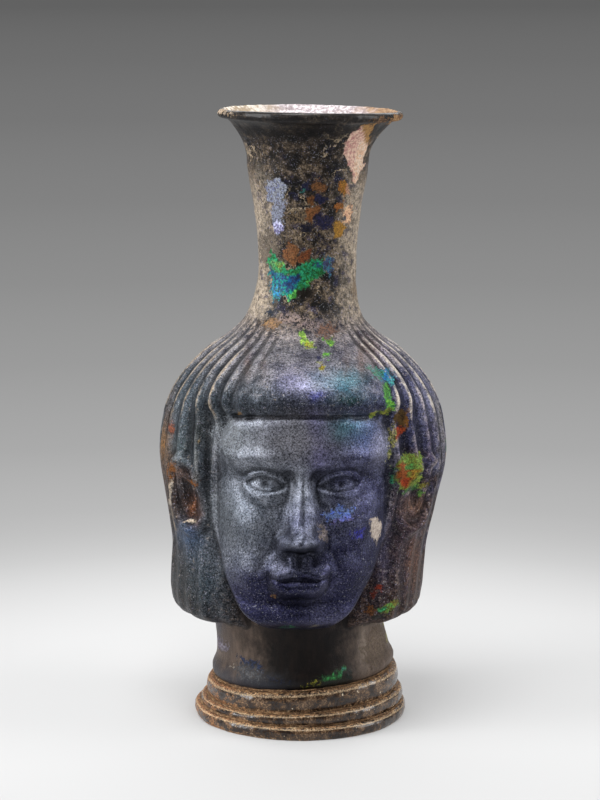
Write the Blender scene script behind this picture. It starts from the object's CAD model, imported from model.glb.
"""A weathered, mould-blown glass flask in the shape of a head, standing on a foot of three glass trails.

The glass is turned from blanks and then moved to its moulded relief. Lengths are in millimetres until a mesh
is finished, and in metres from then on.
"""

from __future__ import annotations

import logging
import math
from dataclasses import dataclass
from enum import Enum
from typing import Callable, Sequence

import bmesh
import bpy
import numpy as np
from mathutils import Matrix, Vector, noise


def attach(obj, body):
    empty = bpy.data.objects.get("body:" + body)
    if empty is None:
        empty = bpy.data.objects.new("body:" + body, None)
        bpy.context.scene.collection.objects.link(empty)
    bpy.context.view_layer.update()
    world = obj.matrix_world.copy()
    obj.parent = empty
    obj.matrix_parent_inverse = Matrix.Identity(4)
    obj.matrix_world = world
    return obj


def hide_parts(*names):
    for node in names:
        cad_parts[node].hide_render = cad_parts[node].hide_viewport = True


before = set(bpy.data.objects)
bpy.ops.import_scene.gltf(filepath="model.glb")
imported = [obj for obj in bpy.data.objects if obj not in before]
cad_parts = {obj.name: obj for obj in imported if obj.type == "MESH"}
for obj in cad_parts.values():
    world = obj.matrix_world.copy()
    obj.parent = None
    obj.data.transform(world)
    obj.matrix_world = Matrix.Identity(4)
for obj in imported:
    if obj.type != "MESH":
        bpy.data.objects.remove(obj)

LOG = logging.getLogger("head_flask")
MM = 0.001
BODY = "root"
# A flake's edge is stored at the vertices as a distance, up to this many millimetres.
FLAKE_REACH = 4.0
# How far in millimetres the most ragged flake's edge may wander.
MOST_RAGGED = 8.0
# Weight of the clear coat on the bare front of the lip.
LIP_COAT = 0.26

Array = np.ndarray
Curve = Callable[[Array], Array]
Colour = tuple[float, float, float, float]
Place = tuple[float, float, float]
Section = list[tuple[float, float]]
Mesh = bpy.types.Mesh
Material = bpy.types.Material
Piece = bpy.types.Object
Socket = bpy.types.NodeSocket


def bump(distance: Array, width: float) -> Array:
    """A round bump: 1 at distance 0, and nearly gone at twice the width."""
    return np.exp(-((distance / width) ** 2))


def ramp(low: float, high: float, value: Array) -> Array:
    """A smooth step from 0 at low to 1 at high."""
    share = np.clip((value - low) / (high - low), 0.0, 1.0)
    return share * share * (3.0 - 2.0 * share)


def mix(start: Array, end: Array, share: Array) -> Array:
    """The value that lies the given share of the way from start to end."""
    return start + (end - start) * share


def smooth_curve(stations: Sequence[tuple[float, float]]) -> Curve:
    """Draw a curve through stations that never overshoots between them.

    Args:
        stations: Pairs of place and value, with the places rising.

    Returns:
        A function from places to values, level beyond both ends.
    """
    places = np.array([place for place, _ in stations], dtype=float)
    values = np.array([value for _, value in stations], dtype=float)
    slopes = np.diff(values) / np.diff(places)
    before, after = slopes[:-1], slopes[1:]
    same_way = before * after > 0
    total = np.where(same_way, before + after, 1.0)
    tangents = np.zeros_like(values)
    tangents[1:-1] = np.where(same_way, 2.0 * before * after / total, 0.0)

    def curve(place: Array) -> Array:
        """The curve's value at each place."""
        at = np.clip(place, places[0], places[-1])
        i = np.clip(np.searchsorted(places, at) - 1, 0, len(places) - 2)
        width = places[i + 1] - places[i]
        t = (at - places[i]) / width
        held = (1 + 2 * t) * (1 - t) ** 2 * values[i] + t * t * (3 - 2 * t) * values[i + 1]
        leave = t * (1 - t) ** 2 * width * tangents[i]
        arrive = t * t * (t - 1) * width * tangents[i + 1]
        return held + leave + arrive

    return curve


def rough_field(points: Array, grain: float, octaves: int, seed: float) -> Array:
    """Uneven lumps for a surface, always the same for the same points.

    Args:
        points: Places in millimetres, one row each.
        grain: Size of the largest lumps in millimetres.
        octaves: How many sizes of lump are added up.
        seed: Shifts the pattern, so that two fields differ.

    Returns:
        One value for each point, mostly between -1 and 1.
    """
    shift = Vector((seed, -seed, seed * 0.5))
    return np.array([noise.fractal(Vector(p) / grain + shift, 0.9, 2.1, octaves) for p in points])


@dataclass(frozen=True)
class FootSizes:
    """Sizes of the three trails of the foot, and the heights that follow from them."""

    base_radius: float = 35.0
    base_height: float = 4.2
    middle_radius: float = 33.5
    middle_height: float = 3.5
    top_radius: float = 31.7
    top_height: float = 6.6
    bore: float = 24.0
    base_bore: float = 25.5
    seat_gap: float = 0.3

    @property
    def middle_bottom(self) -> float:
        """Height of the middle trail's underside."""
        return self.base_height + self.seat_gap

    @property
    def top_bottom(self) -> float:
        """Height of the upper trail's underside."""
        return self.middle_bottom + self.middle_height + self.seat_gap

    @property
    def joint(self) -> float:
        """Height at which the bubble stands on the foot."""
        return self.top_bottom + self.top_height + self.seat_gap


@dataclass(frozen=True)
class HeadForm:
    """The moulded relief of the head: a radius for each azimuth and each height above the joint."""

    bead_radius: float = 30.1
    bead_height: float = 3.0
    throat_radius: float = 27.8
    waist_height: float = 15.0
    lock_radius: float = 41.5
    head_radius: float = 46.4
    neck_radius: float = 15.8
    neck_top_radius: float = 19.6
    lock_end: float = 20.2
    chin: float = 22.8
    widest: float = 73.0
    fringe_edge: float = 91.8
    neck_root: float = 131.0
    neck_top: float = 168.3
    strands: int = 40
    strand_relief: float = 2.1
    fringe_roll: float = 5.2
    fringe_roll_height: float = 18.0
    fringe_span: float = 0.8
    lock_gap: float = 31.0
    lock_gap_low: float = 25.0
    back_fullness: float = 4.4
    seam_azimuth: float = math.radians(80)
    seam_relief: float = 0.5
    ear_azimuth: float = 1.04
    ear_width: float = 16.4
    ear_length: float = 26.0
    ear_relief: float = 2.2
    face_radius: float = 44.0
    face_half_width: float = 31.0
    face_third: float = 26.7
    nose_relief: float = 7.2
    eye_half_width: float = 7.1
    mouth_half_width: float = 9.8
    tuck_height: float = 7.0
    tuck_depth: float = 4.6
    crust_azimuth: float = 0.87
    crust_relief: float = 1.7

    @property
    def eye_width(self) -> float:
        """A fifth of the width of the face."""
        return self.face_half_width * 2 / 5

    @property
    def nose_base(self) -> float:
        """Height of the underside of the nose."""
        return self.chin + self.face_third

    @property
    def brow_line(self) -> float:
        """Height of the brows."""
        return self.nose_base + self.face_third

    @property
    def eye_line(self) -> float:
        """Height of the middle of the eyes."""
        return self.nose_base + self.face_third * 0.75

    @property
    def mouth_line(self) -> float:
        """Height of the parting of the lips."""
        return self.nose_base - self.face_third / 3

    def throat(self, height: Array) -> Array:
        """Radius of the plain throat under the locks.

        Args:
            height: Height above the joint.

        Returns:
            The radius at each height.
        """
        bead = [(0, 1.4), (0.4, 0.4), (1, 0), (1.3, 0.15), (1.9, 1.1), (2.6, 1.7)]
        stations = [(self.bead_height * up, self.bead_radius - inward) for up, inward in bead]
        stations += [(self.waist_height, self.throat_radius), (self.chin + 3, self.throat_radius + 0.3)]
        return smooth_curve(stations)(height)

    def cap(self, height: Array) -> Array:
        """Radius of the hair and of the neck above it, before any relief.

        Args:
            height: Height above the joint.

        Returns:
            The radius at each height.
        """
        crown = [(0.207, 0.961), (0.35, 0.871), (0.462, 0.735), (0.576, 0.53), (0.686, 0.25), (0.776, 0.1)]
        crown.append((0.91, 0.023))
        rise = self.neck_root - self.widest
        swell = self.head_radius - self.neck_radius
        stations = [(self.lock_end, self.lock_radius - 1.2), (self.lock_end + 10, self.lock_radius)]
        stations += [(self.lock_end + 22, self.lock_radius + 0.1)]
        stations += [(self.widest - 16, self.head_radius - 2.4), (self.widest, self.head_radius)]
        stations += [(self.widest + up * rise, self.neck_radius + out * swell) for up, out in crown]
        stations += [
            (self.neck_root, self.neck_radius),
            (self.neck_root + 6, self.neck_radius + 0.02),
            (mix(self.neck_root, self.neck_top, 0.6), mix(self.neck_radius, self.neck_top_radius, 0.38)),
            (self.neck_top, self.neck_top_radius),
        ]
        return smooth_curve(stations)(height)

    def face_level(self, height: Array) -> Array:
        """Radius down the middle of the face, before its features.

        Args:
            height: Height above the joint.

        Returns:
            The radius at each height.
        """
        chin, brow = self.chin, self.brow_line
        setbacks = [(chin - 5, 17), (chin - 2, 6.5), (chin, 3.2), (chin + 5, 0.2), (chin + 11, 1.4)]
        setbacks += [(self.mouth_line, 0.7), (self.nose_base + 3, 1.6), (self.eye_line, 1.4)]
        setbacks += [(brow + 4, 0), (brow + 12, 0.1), (self.fringe_edge + 10, 4)]
        return smooth_curve([(level, self.face_radius - back) for level, back in setbacks])(height)

    def face_width(self, height: Array) -> Array:
        """Half the width of the face at each height: an oval below the cheekbones."""
        down = np.clip((self.nose_base + 13 - height) / (self.nose_base + 15.6 - self.chin), 0, 1)
        return self.face_half_width * (1 - down**2.5) ** 0.52

    def eyes(self, side: Array, height: Array) -> Array:
        """Relief of the sockets, the balls and the lids.

        Args:
            side: Distance from the middle line.
            height: Height above the joint.

        Returns:
            The relief.
        """
        across = side - self.eye_width
        level = height - self.eye_line - 0.04 * across
        reach = np.clip(1 - (across / self.eye_half_width) ** 2, 0, 1)
        upper = 3.3 * reach**0.7
        lower = -2.3 * reach**0.8
        relief = -3.6 * bump(across - 0.4, 9.6) * bump(level - 1.2, 6.0)
        relief -= 1.8 * bump(side - 4.8, 3.4) * bump(level - 1.6, 5.4)
        relief += 2.9 * np.exp(-(((across / 7.6) ** 2 + (level / 5.4) ** 2) ** 1.3))
        near_eye = np.exp(-(((across / 8.4) ** 2 + (level / 5.6) ** 2) ** 3))
        opening = ramp(-0.5, 0.6, upper - level) * ramp(-0.5, 0.6, level - lower)
        relief += 0.8 * (1 - opening) * near_eye
        relief += 0.4 * bump(level - upper - 0.7, 0.8) * near_eye * ramp(0, 0.3, reach)
        relief -= 0.4 * bump(level - upper - 2.4, 0.9) * near_eye
        return relief - 0.35 * bump(np.hypot(across, level - 0.4), 1.1) * opening

    def nose(self, across: Array, height: Array) -> Array:
        """Relief of the ridge, the tip, the wings and the nostrils.

        Args:
            across: Distance from the middle line to +X.
            height: Height above the joint.

        Returns:
            The relief.
        """
        side = np.abs(across)
        up = height - self.nose_base
        down = np.clip((self.brow_line - 2 - height) / (self.brow_line - 6 - self.nose_base), 0, 1)
        rise = 1.6 + (self.nose_relief - 3.0) * down**1.2
        below = ramp(-1.6, 3.6, up)
        above = 1 - ramp(self.brow_line - 3, self.brow_line + 8, height)
        ridge = np.exp(-((side / (2.9 + 1.3 * down)) ** 2.1))
        relief = (rise * ridge + 1.5 * down * bump(across, 7.6)) * below * above
        relief += 2.3 * np.exp(-(((side / 4.0) ** 2 + ((up - 3.6) / 3.6) ** 2) ** 1.2))
        relief += 2.1 * np.exp(-((((side - 5.2) / 2.3) ** 2 + ((up - 2.7) / 2.7) ** 2) ** 1.2))
        relief -= 0.5 * bump(side - 8.4, 1.5) * bump(up - 2.6, 3.0)
        return relief - 0.8 * bump(side - 2.9, 1.2) * bump(up + 0.4, 0.9)

    def mouth(self, across: Array, height: Array) -> Array:
        """Relief of the lips, their corners and the furrow above them.

        Args:
            across: Distance from the middle line to +X.
            height: Height above the joint.

        Returns:
            The relief.
        """
        side = np.abs(across)
        reach = np.clip(1 - (side / self.mouth_half_width) ** 2, 0, 1)
        level = height - self.mouth_line - 0.25 * np.cos(across * 0.7) * reach - 0.005 * across**2
        bow = 0.35 * bump(side - 2.4, 1.7) - 0.45 * bump(across, 1.2)
        relief = 2.6 * bump(across, 13.0) * bump(height - self.mouth_line, 10)
        fade = ramp(0, 0.75, reach)
        relief += 2.4 * bump(level - 2.4 * reach**0.6 - bow, 2.3) * fade
        relief += 2.8 * bump(level + 3.1 * reach**0.6, 2.9) * fade
        relief -= 0.9 * bump(level, 0.9) * ramp(0, 0.5, reach)
        relief -= 0.4 * bump(side - self.mouth_half_width + 0.6, 2.2) * bump(level, 2.0)
        relief -= 0.5 * bump(across, 1.5) * bump(height - self.mouth_line - 6.4, 2.4)
        return relief + 0.3 * bump(side - 2.5, 1.1) * bump(height - self.mouth_line - 6.2, 2.4)

    def face(self, azimuth: Array, height: Array) -> Array:
        """Radius of the face with its features.

        Args:
            azimuth: Angle from the face to +X.
            height: Height above the joint.

        Returns:
            The radius at each place.
        """
        across = self.face_radius * np.sin(azimuth)
        side = np.abs(across)
        radius = self.face_level(height) - 4.4 * np.clip(side / self.face_half_width, 0, 1.2) ** 2.4
        radius += 2.4 * bump(side - 17.0, 9.0) * bump(height - self.eye_line + 12.5, 8.5)
        radius += 1.2 * bump(side - 15.0, 8.5) * bump(height - self.mouth_line - 1, 10)
        arch = self.brow_line + 1.6 - 0.014 * (side - 13.5) ** 2
        radius += 1.7 * bump(height - arch, 3.0) * ramp(1, 7, side) * (1 - ramp(20, 29, side))
        radius -= 1.0 * bump(across, 9.0) * bump(height - self.mouth_line + 8.0, 2.6)
        radius += 2.2 * bump(across, 8.0) * bump(height - self.chin - 6.4, 4.6)
        fold = 10.0 + 0.3 * (self.nose_base + 1 - height)
        near_fold = ramp(self.mouth_line - 1, self.mouth_line + 3, height)
        near_fold = near_fold * (1 - ramp(self.nose_base - 1, self.nose_base + 4, height))
        radius -= 0.5 * bump(side - fold, 2.0) * near_fold
        return radius + self.eyes(side, height) + self.nose(across, height) + self.mouth(across, height)

    def ear(self, azimuth: Array, height: Array) -> Array:
        """Relief of the ears: rim, hollow, inner fold and lobe.

        Args:
            azimuth: Angle from the face to +X.
            height: Height above the joint.

        Returns:
            The relief.
        """
        level = height - (self.nose_base + self.brow_line) / 2
        back = self.head_radius * (np.abs(azimuth) - self.ear_azimuth) - 0.1 * level
        up = level / (self.ear_length / 2)
        out = back / (self.ear_width / 2)
        around = (np.abs(out) ** 2.4 + np.abs(up) ** 2.4) ** (1 / 2.4)
        open_side = 1 - 0.8 * bump(np.arctan2(up + 0.2, -out), 0.7)
        relief = self.ear_relief * bump(around - 0.86, 0.13) * open_side
        relief -= 1.3 * self.ear_relief * bump(around, 0.66)
        inner = np.hypot((back - 1) / 3.6, (level - 1) / 8)
        relief += 0.5 * self.ear_relief * bump(inner - 0.8, 0.24) * ramp(-3, -1, back)
        relief += 0.6 * self.ear_relief * bump(back + 1.0, 3) * bump(level + 12, 3.2)
        crust = bump(azimuth - self.crust_azimuth, 0.12) * bump(level - 8.5, 4.6)
        return relief + self.crust_relief * crust

    def turn_of_strand(self, azimuth: Array, height: Array) -> Array:
        """The wave of the combed strands: each full turn of it is one strand.

        Args:
            azimuth: Angle from the face to +X.
            height: Height above the joint.

        Returns:
            The wave's angle in radians.
        """
        wander = 0.42 * np.sin(3 * azimuth + 0.7) + 0.3 * np.sin(5 * azimuth + 2.0)
        wander = wander + 0.22 * np.sin(height / 9 + 4 * azimuth) + 0.1 * np.sin(height / 3.7 + 9 * azimuth)
        wander = wander + 1.6 * ramp(60, 20, height) * np.sin(azimuth)
        return self.strands * azimuth + 2 * wander

    def strand(self, azimuth: Array, height: Array) -> Array:
        """How far up the side of a strand a place lies: 0 in the trough and 1 on the narrow crest."""
        return (0.5 + 0.5 * np.cos(self.turn_of_strand(azimuth, height))) ** 1.3

    def crest_line(self, azimuth: Array, height: Array) -> Array:
        """Where a strand's crest is worn to a pale line, which is broader on the right.

        Args:
            azimuth: Angle from the face to +X.
            height: Height above the joint.

        Returns:
            The line's strength, up to 1.
        """
        strand = self.strand(azimuth, height)
        line = np.where(azimuth > 0, ramp(0.74, 0.94, strand), ramp(0.82, 0.97, strand))
        number = np.round(self.turn_of_strand(azimuth, height) / (2 * math.pi))
        own = 0.62 + 0.38 * np.sin(2.4 * number + 1.0)
        beside = ramp(0.6, 0.86, np.abs(azimuth))
        return line * own * beside * ramp(82, 96, height) * (1 - ramp(108, 118, height))

    def combing(self, azimuth: Array, height: Array) -> Array:
        """How deeply the strands are combed: hardly in the fringe, and not at all on the crown.

        Args:
            azimuth: Angle from the face to +X.
            height: Height above the joint.

        Returns:
            The depth, up to about 1.
        """
        combed = np.maximum(ramp(0.2, 0.56, -azimuth), ramp(0.56, 0.8, azimuth))
        depth = (0.05 + 0.95 * combed) * (1 - ramp(103, 119, height)) * (0.28 + 0.72 * ramp(54, 78, height))
        return depth * (0.85 + 0.3 * np.sin(7 * azimuth + 1.0))

    def hair(self, azimuth: Array, height: Array) -> Array:
        """Radius of the combed hair with its fringe.

        Args:
            azimuth: Angle from the face to +X.
            height: Height above the joint.

        Returns:
            The radius at each place.
        """
        side = np.abs(azimuth)
        over_face = np.exp(-((side / self.fringe_span) ** 4))
        middle = self.fringe_edge + 0.5 * self.fringe_roll_height
        radius = self.cap(height)
        radius = radius + self.fringe_roll * bump(height - middle, self.fringe_roll_height / 2) * over_face
        tuck = np.clip((height - self.fringe_edge + 0.6) / self.tuck_height, 0, 1)
        rounded = 1 - np.sqrt(1 - (1 - tuck) ** 2)
        radius = radius - self.tuck_depth * rounded * np.exp(-((side / 0.72) ** 8))
        radius = radius + self.back_fullness * bump(math.pi - side, 1) * bump(height - self.widest, 26)
        combed = self.strand_relief * self.combing(azimuth, height)
        return radius + combed * (self.strand(azimuth, height) - 0.75)

    def across_face(self, azimuth: Array, height: Array) -> tuple[Array, Array, Array]:
        """How places lie to the face.

        Args:
            azimuth: Angle from the face to +X.
            height: Height above the joint.

        Returns:
            Which are in front, and their distances off the middle line and past the locks' edge.
        """
        in_front = np.abs(azimuth) < math.pi / 2
        across = np.where(in_front, np.abs(self.face_radius * np.sin(azimuth)), self.face_radius)
        gap = mix(self.lock_gap_low, self.lock_gap, ramp(self.chin + 4, self.chin + 32, height))
        return in_front, across, across - gap

    def zones(self, azimuth: Array, height: Array) -> tuple[Array, Array, Array]:
        """Where the face and the hair lie.

        Args:
            azimuth: Angle from the face to +X.
            height: Height above the joint.

        Returns:
            The share of face, the share of hair, and the distance beyond the hairline.
        """
        in_front, across, beside = self.across_face(azimuth, height)
        within = np.clip((self.face_width(height) + 1.4 - across) / 4.6, 0, 1)
        within = np.minimum(within, np.clip((height - self.chin + 1.8) / 4.6, 0, 1))
        face = np.where(in_front, np.sqrt(1 - (1 - within) ** 2), 0.0)
        beside = np.where(in_front, beside, self.face_radius)
        uneven = 0.25 * np.sin(across * 0.55 + 0.5)
        above = height - self.fringe_edge + 0.004 * across**2 - uneven
        corner = 10.0
        rounded = np.hypot(np.maximum(beside + corner, 0), np.maximum(above + corner, 0)) - corner
        in_corner = (beside > -corner) & (above > -corner)
        beyond = np.where(in_corner, rounded, np.maximum(beside, above))
        return face, ramp(-0.9, 1.3, beyond), beyond

    def outside(self, azimuth: Array, height: Array) -> Array:
        """Radius of the bubble's outside.

        Args:
            azimuth: Angle from the face to +X.
            height: Height above the joint.

        Returns:
            The radius at each place.
        """
        side = np.abs(azimuth)
        throat = self.throat(height)
        cap = self.cap(height)
        face_share, hair_share, beyond = self.zones(azimuth, height)
        ground = mix(throat, cap - 3, ramp(self.chin + 6, self.chin + 28, height))
        face = mix(ground, self.face(azimuth, height), face_share)
        in_front, _, beside = self.across_face(azimuth, height)
        face = face - np.where((height > self.chin + 6) & in_front, 0.4 * bump(beyond + 0.6, 1.3), 0.0)
        below_fringe = 1 - ramp(-6, 4, height - self.fringe_edge)
        hair = self.hair(azimuth, height) + self.ear(azimuth, height) - 4.4 * bump(beside, 6) * below_fringe
        lobes = 1.1 * np.abs(np.cos(self.strands * azimuth / 4)) - 0.5
        hanging = np.clip((height - self.lock_end + lobes) / 4.8, 0, 1)
        hair = mix(throat, hair, np.sqrt(1 - (1 - hanging) ** 2))
        radius = mix(face, hair, np.where(hanging > 0, hair_share, 0.0))
        seam_run = ramp(self.lock_end + 4, self.lock_end + 14, height)
        seam_run = seam_run * (1 - ramp(self.fringe_edge, self.fringe_edge + 12, height))
        seam = bump(self.head_radius * (side - self.seam_azimuth), 0.7)
        radius = radius + self.seam_relief * seam * seam_run
        radius = np.where(height < self.lock_end - 3, throat, radius)
        return np.where(height > self.neck_root - 8, cap, radius)


class Settling:
    """How the hot glass sagged: the centre line drifts to +X, and level lines tip about Y."""

    def __init__(self, foot: FootSizes, neck_top: float, mouth: float) -> None:
        """Set the drift and the tip by height above the table.

        Args:
            foot: Sizes of the foot.
            neck_top: Height of the neck's top above the table.
            mouth: Height of the mouth above the table.
        """
        low = [(0, 0.2), (20, 1.0), (40, -1.2), (62, 0.0), (90, 1.0)]
        high = [(130, 1.2), (150, 2.4), (185, 2.5), (199, 3.3)]
        self.drift = smooth_curve(low + high)
        self.tip = smooth_curve(
            [
                (foot.base_height, 0.0), (foot.middle_bottom + foot.middle_height, 0.04),
                (foot.joint, 0.065), (foot.joint + HeadForm.lock_end, 0.0), (neck_top, 0.0), (mouth, -0.016),
            ]
        )

    def settle(self, points: Array) -> Array:
        """Move points from where the glass was made to where it sagged.

        Args:
            points: Places in millimetres, one row each.

        Returns:
            The moved places.
        """
        moved = points.copy()
        moved[:, 0] += self.drift(points[:, 2])
        moved[:, 2] += points[:, 0] * self.tip(points[:, 2])
        return moved


def rolled_sheet(name: str, rows: int, columns: int) -> tuple[Mesh, Array, Array]:
    """Make a sheet's mesh, and say where each vertex lies once it is rolled.

    Args:
        name: The mesh's name.
        rows: Number of rows of vertices.
        columns: Number of steps round the form.

    Returns:
        The mesh, and each vertex's row number and azimuth.
    """
    sheet = bmesh.new()
    bmesh.ops.create_grid(sheet, x_segments=columns, y_segments=rows - 1, size=0.5)
    mesh = bpy.data.meshes.new(name)
    sheet.to_mesh(mesh)
    sheet.free()
    flat = np.empty(len(mesh.vertices) * 3)
    mesh.vertices.foreach_get("co", flat)
    points = flat.reshape(-1, 3)
    return mesh, np.rint((points[:, 1] + 0.5) * (rows - 1)).astype(int), points[:, 0] * 2 * math.pi


def rolled_section(name: str, section: Section, columns: int) -> tuple[Mesh, Array, Array, Array]:
    """Roll a sheet to a section of radii and heights.

    Args:
        name: The mesh's name.
        section: Radius and height of each row of vertices.
        columns: Number of steps round the form.

    Returns:
        The mesh, and each vertex's radius, height and azimuth.
    """
    mesh, row, azimuth = rolled_sheet(name, len(section), columns)
    radius, height = np.array(section)[row].T
    return mesh, radius, height, azimuth


def round_points(radius: Array, azimuth: Array, height: Array) -> Array:
    """Points at a radius, at an azimuth from the front, and at a height."""
    return np.stack([radius * np.sin(azimuth), -radius * np.cos(azimuth), height], axis=1)


def push_out(points: Array, azimuth: Array, off: Array) -> None:
    """Move points away from the middle line."""
    points[:, 0] += off * np.sin(azimuth)
    points[:, 1] -= off * np.cos(azimuth)


def write_points(mesh: Mesh, points: Array) -> None:
    """Place a mesh's vertices, given in millimetres."""
    mesh.vertices.foreach_set("co", (points * MM).ravel())


def close_and_face_out(mesh: Mesh) -> None:
    """Merge the poles and seams of a shaped blank, and point its faces out.

    Args:
        mesh: The shaped mesh.
    """
    shaped = bmesh.new()
    shaped.from_mesh(mesh)
    bmesh.ops.remove_doubles(shaped, verts=shaped.verts, dist=1e-7)
    bmesh.ops.dissolve_degenerate(shaped, edges=shaped.edges, dist=1e-8)
    bmesh.ops.recalc_face_normals(shaped, faces=shaped.faces)
    for face in shaped.faces:
        face.smooth = True
    shaped.to_mesh(mesh)
    shaped.free()
    mesh.update()


def add_attribute(mesh: Mesh, name: str, values: Array) -> None:
    """Store up to four values at each vertex for the materials.

    Args:
        mesh: The mesh.
        name: The attribute's name.
        values: One row for each vertex.
    """
    colours = np.zeros((len(mesh.vertices), 4))
    colours[:, : values.shape[1]] = values
    attribute = mesh.attributes.new(name, "FLOAT_COLOR", "POINT")
    attribute.data.foreach_set("color", colours.ravel())


def placed(name: str, data: bpy.types.ID) -> Piece:
    """An object with the given data, linked to the scene."""
    thing = bpy.data.objects.new(name, data)
    bpy.context.scene.collection.objects.link(thing)
    return thing


def finished(mesh: Mesh, material: Material) -> Piece:
    """Make a finished mesh a piece of the flask.

    Args:
        mesh: The mesh, in metres and in its place.
        material: Its material.

    Returns:
        The object, which rides on the flask.
    """
    mesh.materials.append(material)
    piece = placed(mesh.name, mesh)
    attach(piece, BODY)
    return piece


@dataclass(frozen=True)
class GlassBubble:
    """The one bubble of glass: lip, funnel, neck, moulded head, throat, floor and hollow."""

    form: HeadForm
    foot: FootSizes
    settling: Settling
    wall: float = 2.6
    lip_radius: float = 29.8
    front_fold: float = 0.9
    lip_thickness: float = 2.5
    flare_length: float = 14.7
    floor_drop: float = 2.2
    floor_kick: float = 1.1
    floor_thickness: float = 3.2
    kick_radius: float = 11.0
    flare_rows: int = 15
    lip_rows: int = 13
    funnel_rows: int = 11
    columns: int = 300

    def moulded_levels(self) -> Array:
        """Heights of the rows on the outside, from the joint to the top of the neck.

        Returns:
            The heights, rising.
        """
        form = self.form
        runs = [(0.0, 14), (form.lock_end - 4, 16), (form.chin + 3, 100), (form.fringe_edge - 3, 14)]
        runs += [(form.fringe_edge + 4, 46), (form.neck_root, 56), (form.neck_top, 0)]
        parts = []
        for (low, rows), (high, _) in zip(runs, runs[1:]):
            parts.append(np.linspace(low, high, rows, endpoint=False))
        return np.concatenate(parts)

    def plain_rows(self) -> tuple[Section, Section, Section]:
        """Radius and height of the rows that are plainly round.

        Returns:
            The underside's rows, those from the flare into the funnel, and the floor's.
        """
        form = self.form
        seat = self.foot.bore - self.foot.seat_gap
        kick = self.floor_kick - self.floor_drop
        drop = -self.floor_drop
        slope = (self.kick_radius + 2, kick - self.floor_kick * 0.45)
        underside = [(0.0, kick), (self.kick_radius, kick), slope, (self.kick_radius + 4, drop)]
        underside += [(seat - 0.6, drop), (seat, drop + 0.6), (seat, 0.0)]
        lip_middle = self.lip_radius - self.lip_thickness / 2
        mouth: Section = []
        for up in np.linspace(0, 0.94, self.flare_rows):
            radius = mix(form.neck_top_radius, lip_middle, up**2)
            mouth.append((radius, form.neck_top + self.flare_length * up))
        for turn in np.radians(np.linspace(-70, 150, self.lip_rows)):
            radius = lip_middle + self.lip_thickness / 2 * math.cos(turn)
            rise = self.flare_length + self.lip_thickness / 2 * math.sin(turn)
            mouth.append((radius, form.neck_top + rise))
        for up in np.linspace(0.93, 0.0, self.funnel_rows):
            radius = mix(form.neck_top_radius - self.wall, self.lip_radius - self.lip_thickness, up**2.2)
            mouth.append((radius, form.neck_top + (self.flare_length + self.lip_thickness * 0.2) * up))
        top = self.floor_thickness - self.floor_drop
        raised = top + self.floor_kick
        floor = [(self.foot.bore - self.wall, top), (self.kick_radius, raised), (0.0, raised)]
        return underside, mouth, floor

    def hollow_levels(self) -> Array:
        """Heights of the rows inside, from the neck down to the throat.

        Returns:
            The heights, falling.
        """
        form = self.form
        neck = np.linspace(form.neck_top - 8, form.neck_root, 4, endpoint=False)
        crown = np.linspace(form.neck_root, form.fringe_edge + 2, 7, endpoint=False)
        chamber = np.linspace(form.fringe_edge + 2, form.lock_end + 8, 6, endpoint=False)
        throat = [form.lock_end + 6, form.lock_end - 2, form.bead_height + 2]
        return np.concatenate([neck, crown, chamber, throat])

    def hollow_radius(self, azimuth: Array, height: Array) -> Array:
        """Radius of the hollow, which follows the relief softly inside the wall.

        Args:
            azimuth: Angle from the face to +X.
            height: Height above the joint.

        Returns:
            The radius at each place.
        """
        least = np.full_like(azimuth, np.inf)
        for turn in (-0.14, -0.07, 0.0, 0.07, 0.14):
            for rise in (-5.0, -2.5, 0.0, 2.5, 5.0):
                level = np.minimum(height + rise, self.form.neck_top)
                least = np.minimum(least, self.form.outside(azimuth + turn, level))
        return least - self.wall

    def build(self, material: Material) -> Piece:
        """Turn the blank, blow it into the mould's relief and let it settle.

        Args:
            material: The weathered glass.

        Returns:
            The finished piece.
        """
        underside, mouth, floor = self.plain_rows()
        outside = self.moulded_levels()
        inside = self.hollow_levels()
        counts = [len(underside), len(outside), len(mouth), len(inside), len(floor)]
        starts = np.concatenate([[0], np.cumsum(counts)])
        mesh, row, turned = rolled_sheet("blown_bubble", int(starts[-1]), self.columns)
        azimuth = turned - 0.5 * np.sin(turned)
        moulded, hollow = ([(0.0, level) for level in levels] for levels in (outside, inside))
        section = underside + moulded + mouth + hollow + floor
        radius, height = np.array(section)[row].T
        is_outside = (row >= starts[1]) & (row < starts[2])
        is_inside = (row >= starts[3]) & (row < starts[4])
        radius[is_outside] = self.form.outside(azimuth[is_outside], height[is_outside])
        radius[is_inside] = self.hollow_radius(azimuth[is_inside], height[is_inside])
        in_mouth = (row >= starts[2]) & (row < starts[3])
        on_skin = is_outside | in_mouth
        points = round_points(radius, azimuth, height + self.foot.joint)
        lip_start = starts[2] + self.flare_rows - 0.35 * self.lip_rows * np.clip(-2 * np.cos(azimuth), 0, 1)
        crusted = ramp(lip_start + self.lip_rows * 0.5, lip_start + self.lip_rows * 1.1, row) * in_mouth
        uneven = self.unevenness(points, height, on_skin, crusted)
        push_out(points, azimuth, uneven)
        points[:, 2] += crusted * np.abs(uneven)
        rim = ramp(self.flare_length - 1, self.flare_length + 1, height - self.form.neck_top) * in_mouth
        points[:, 2] += self.front_fold * rim * np.clip(np.cos(azimuth), 0, 1)
        settled = self.settling.settle(points)
        write_points(mesh, settled)
        add_attribute(mesh, "skin", self.skin(azimuth, height, is_outside))
        crest_line = np.where(is_outside, self.form.crest_line(azimuth, height), 0.0)
        add_attribute(mesh, "side", np.stack([~on_skin, crusted, crest_line], axis=1).astype(float))
        for name, values in Weathering(settled, azimuth, on_skin).attributes().items():
            add_attribute(mesh, name, values)
        close_and_face_out(mesh)
        piece = finished(mesh, material)
        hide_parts("flask_body")
        return piece

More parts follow.
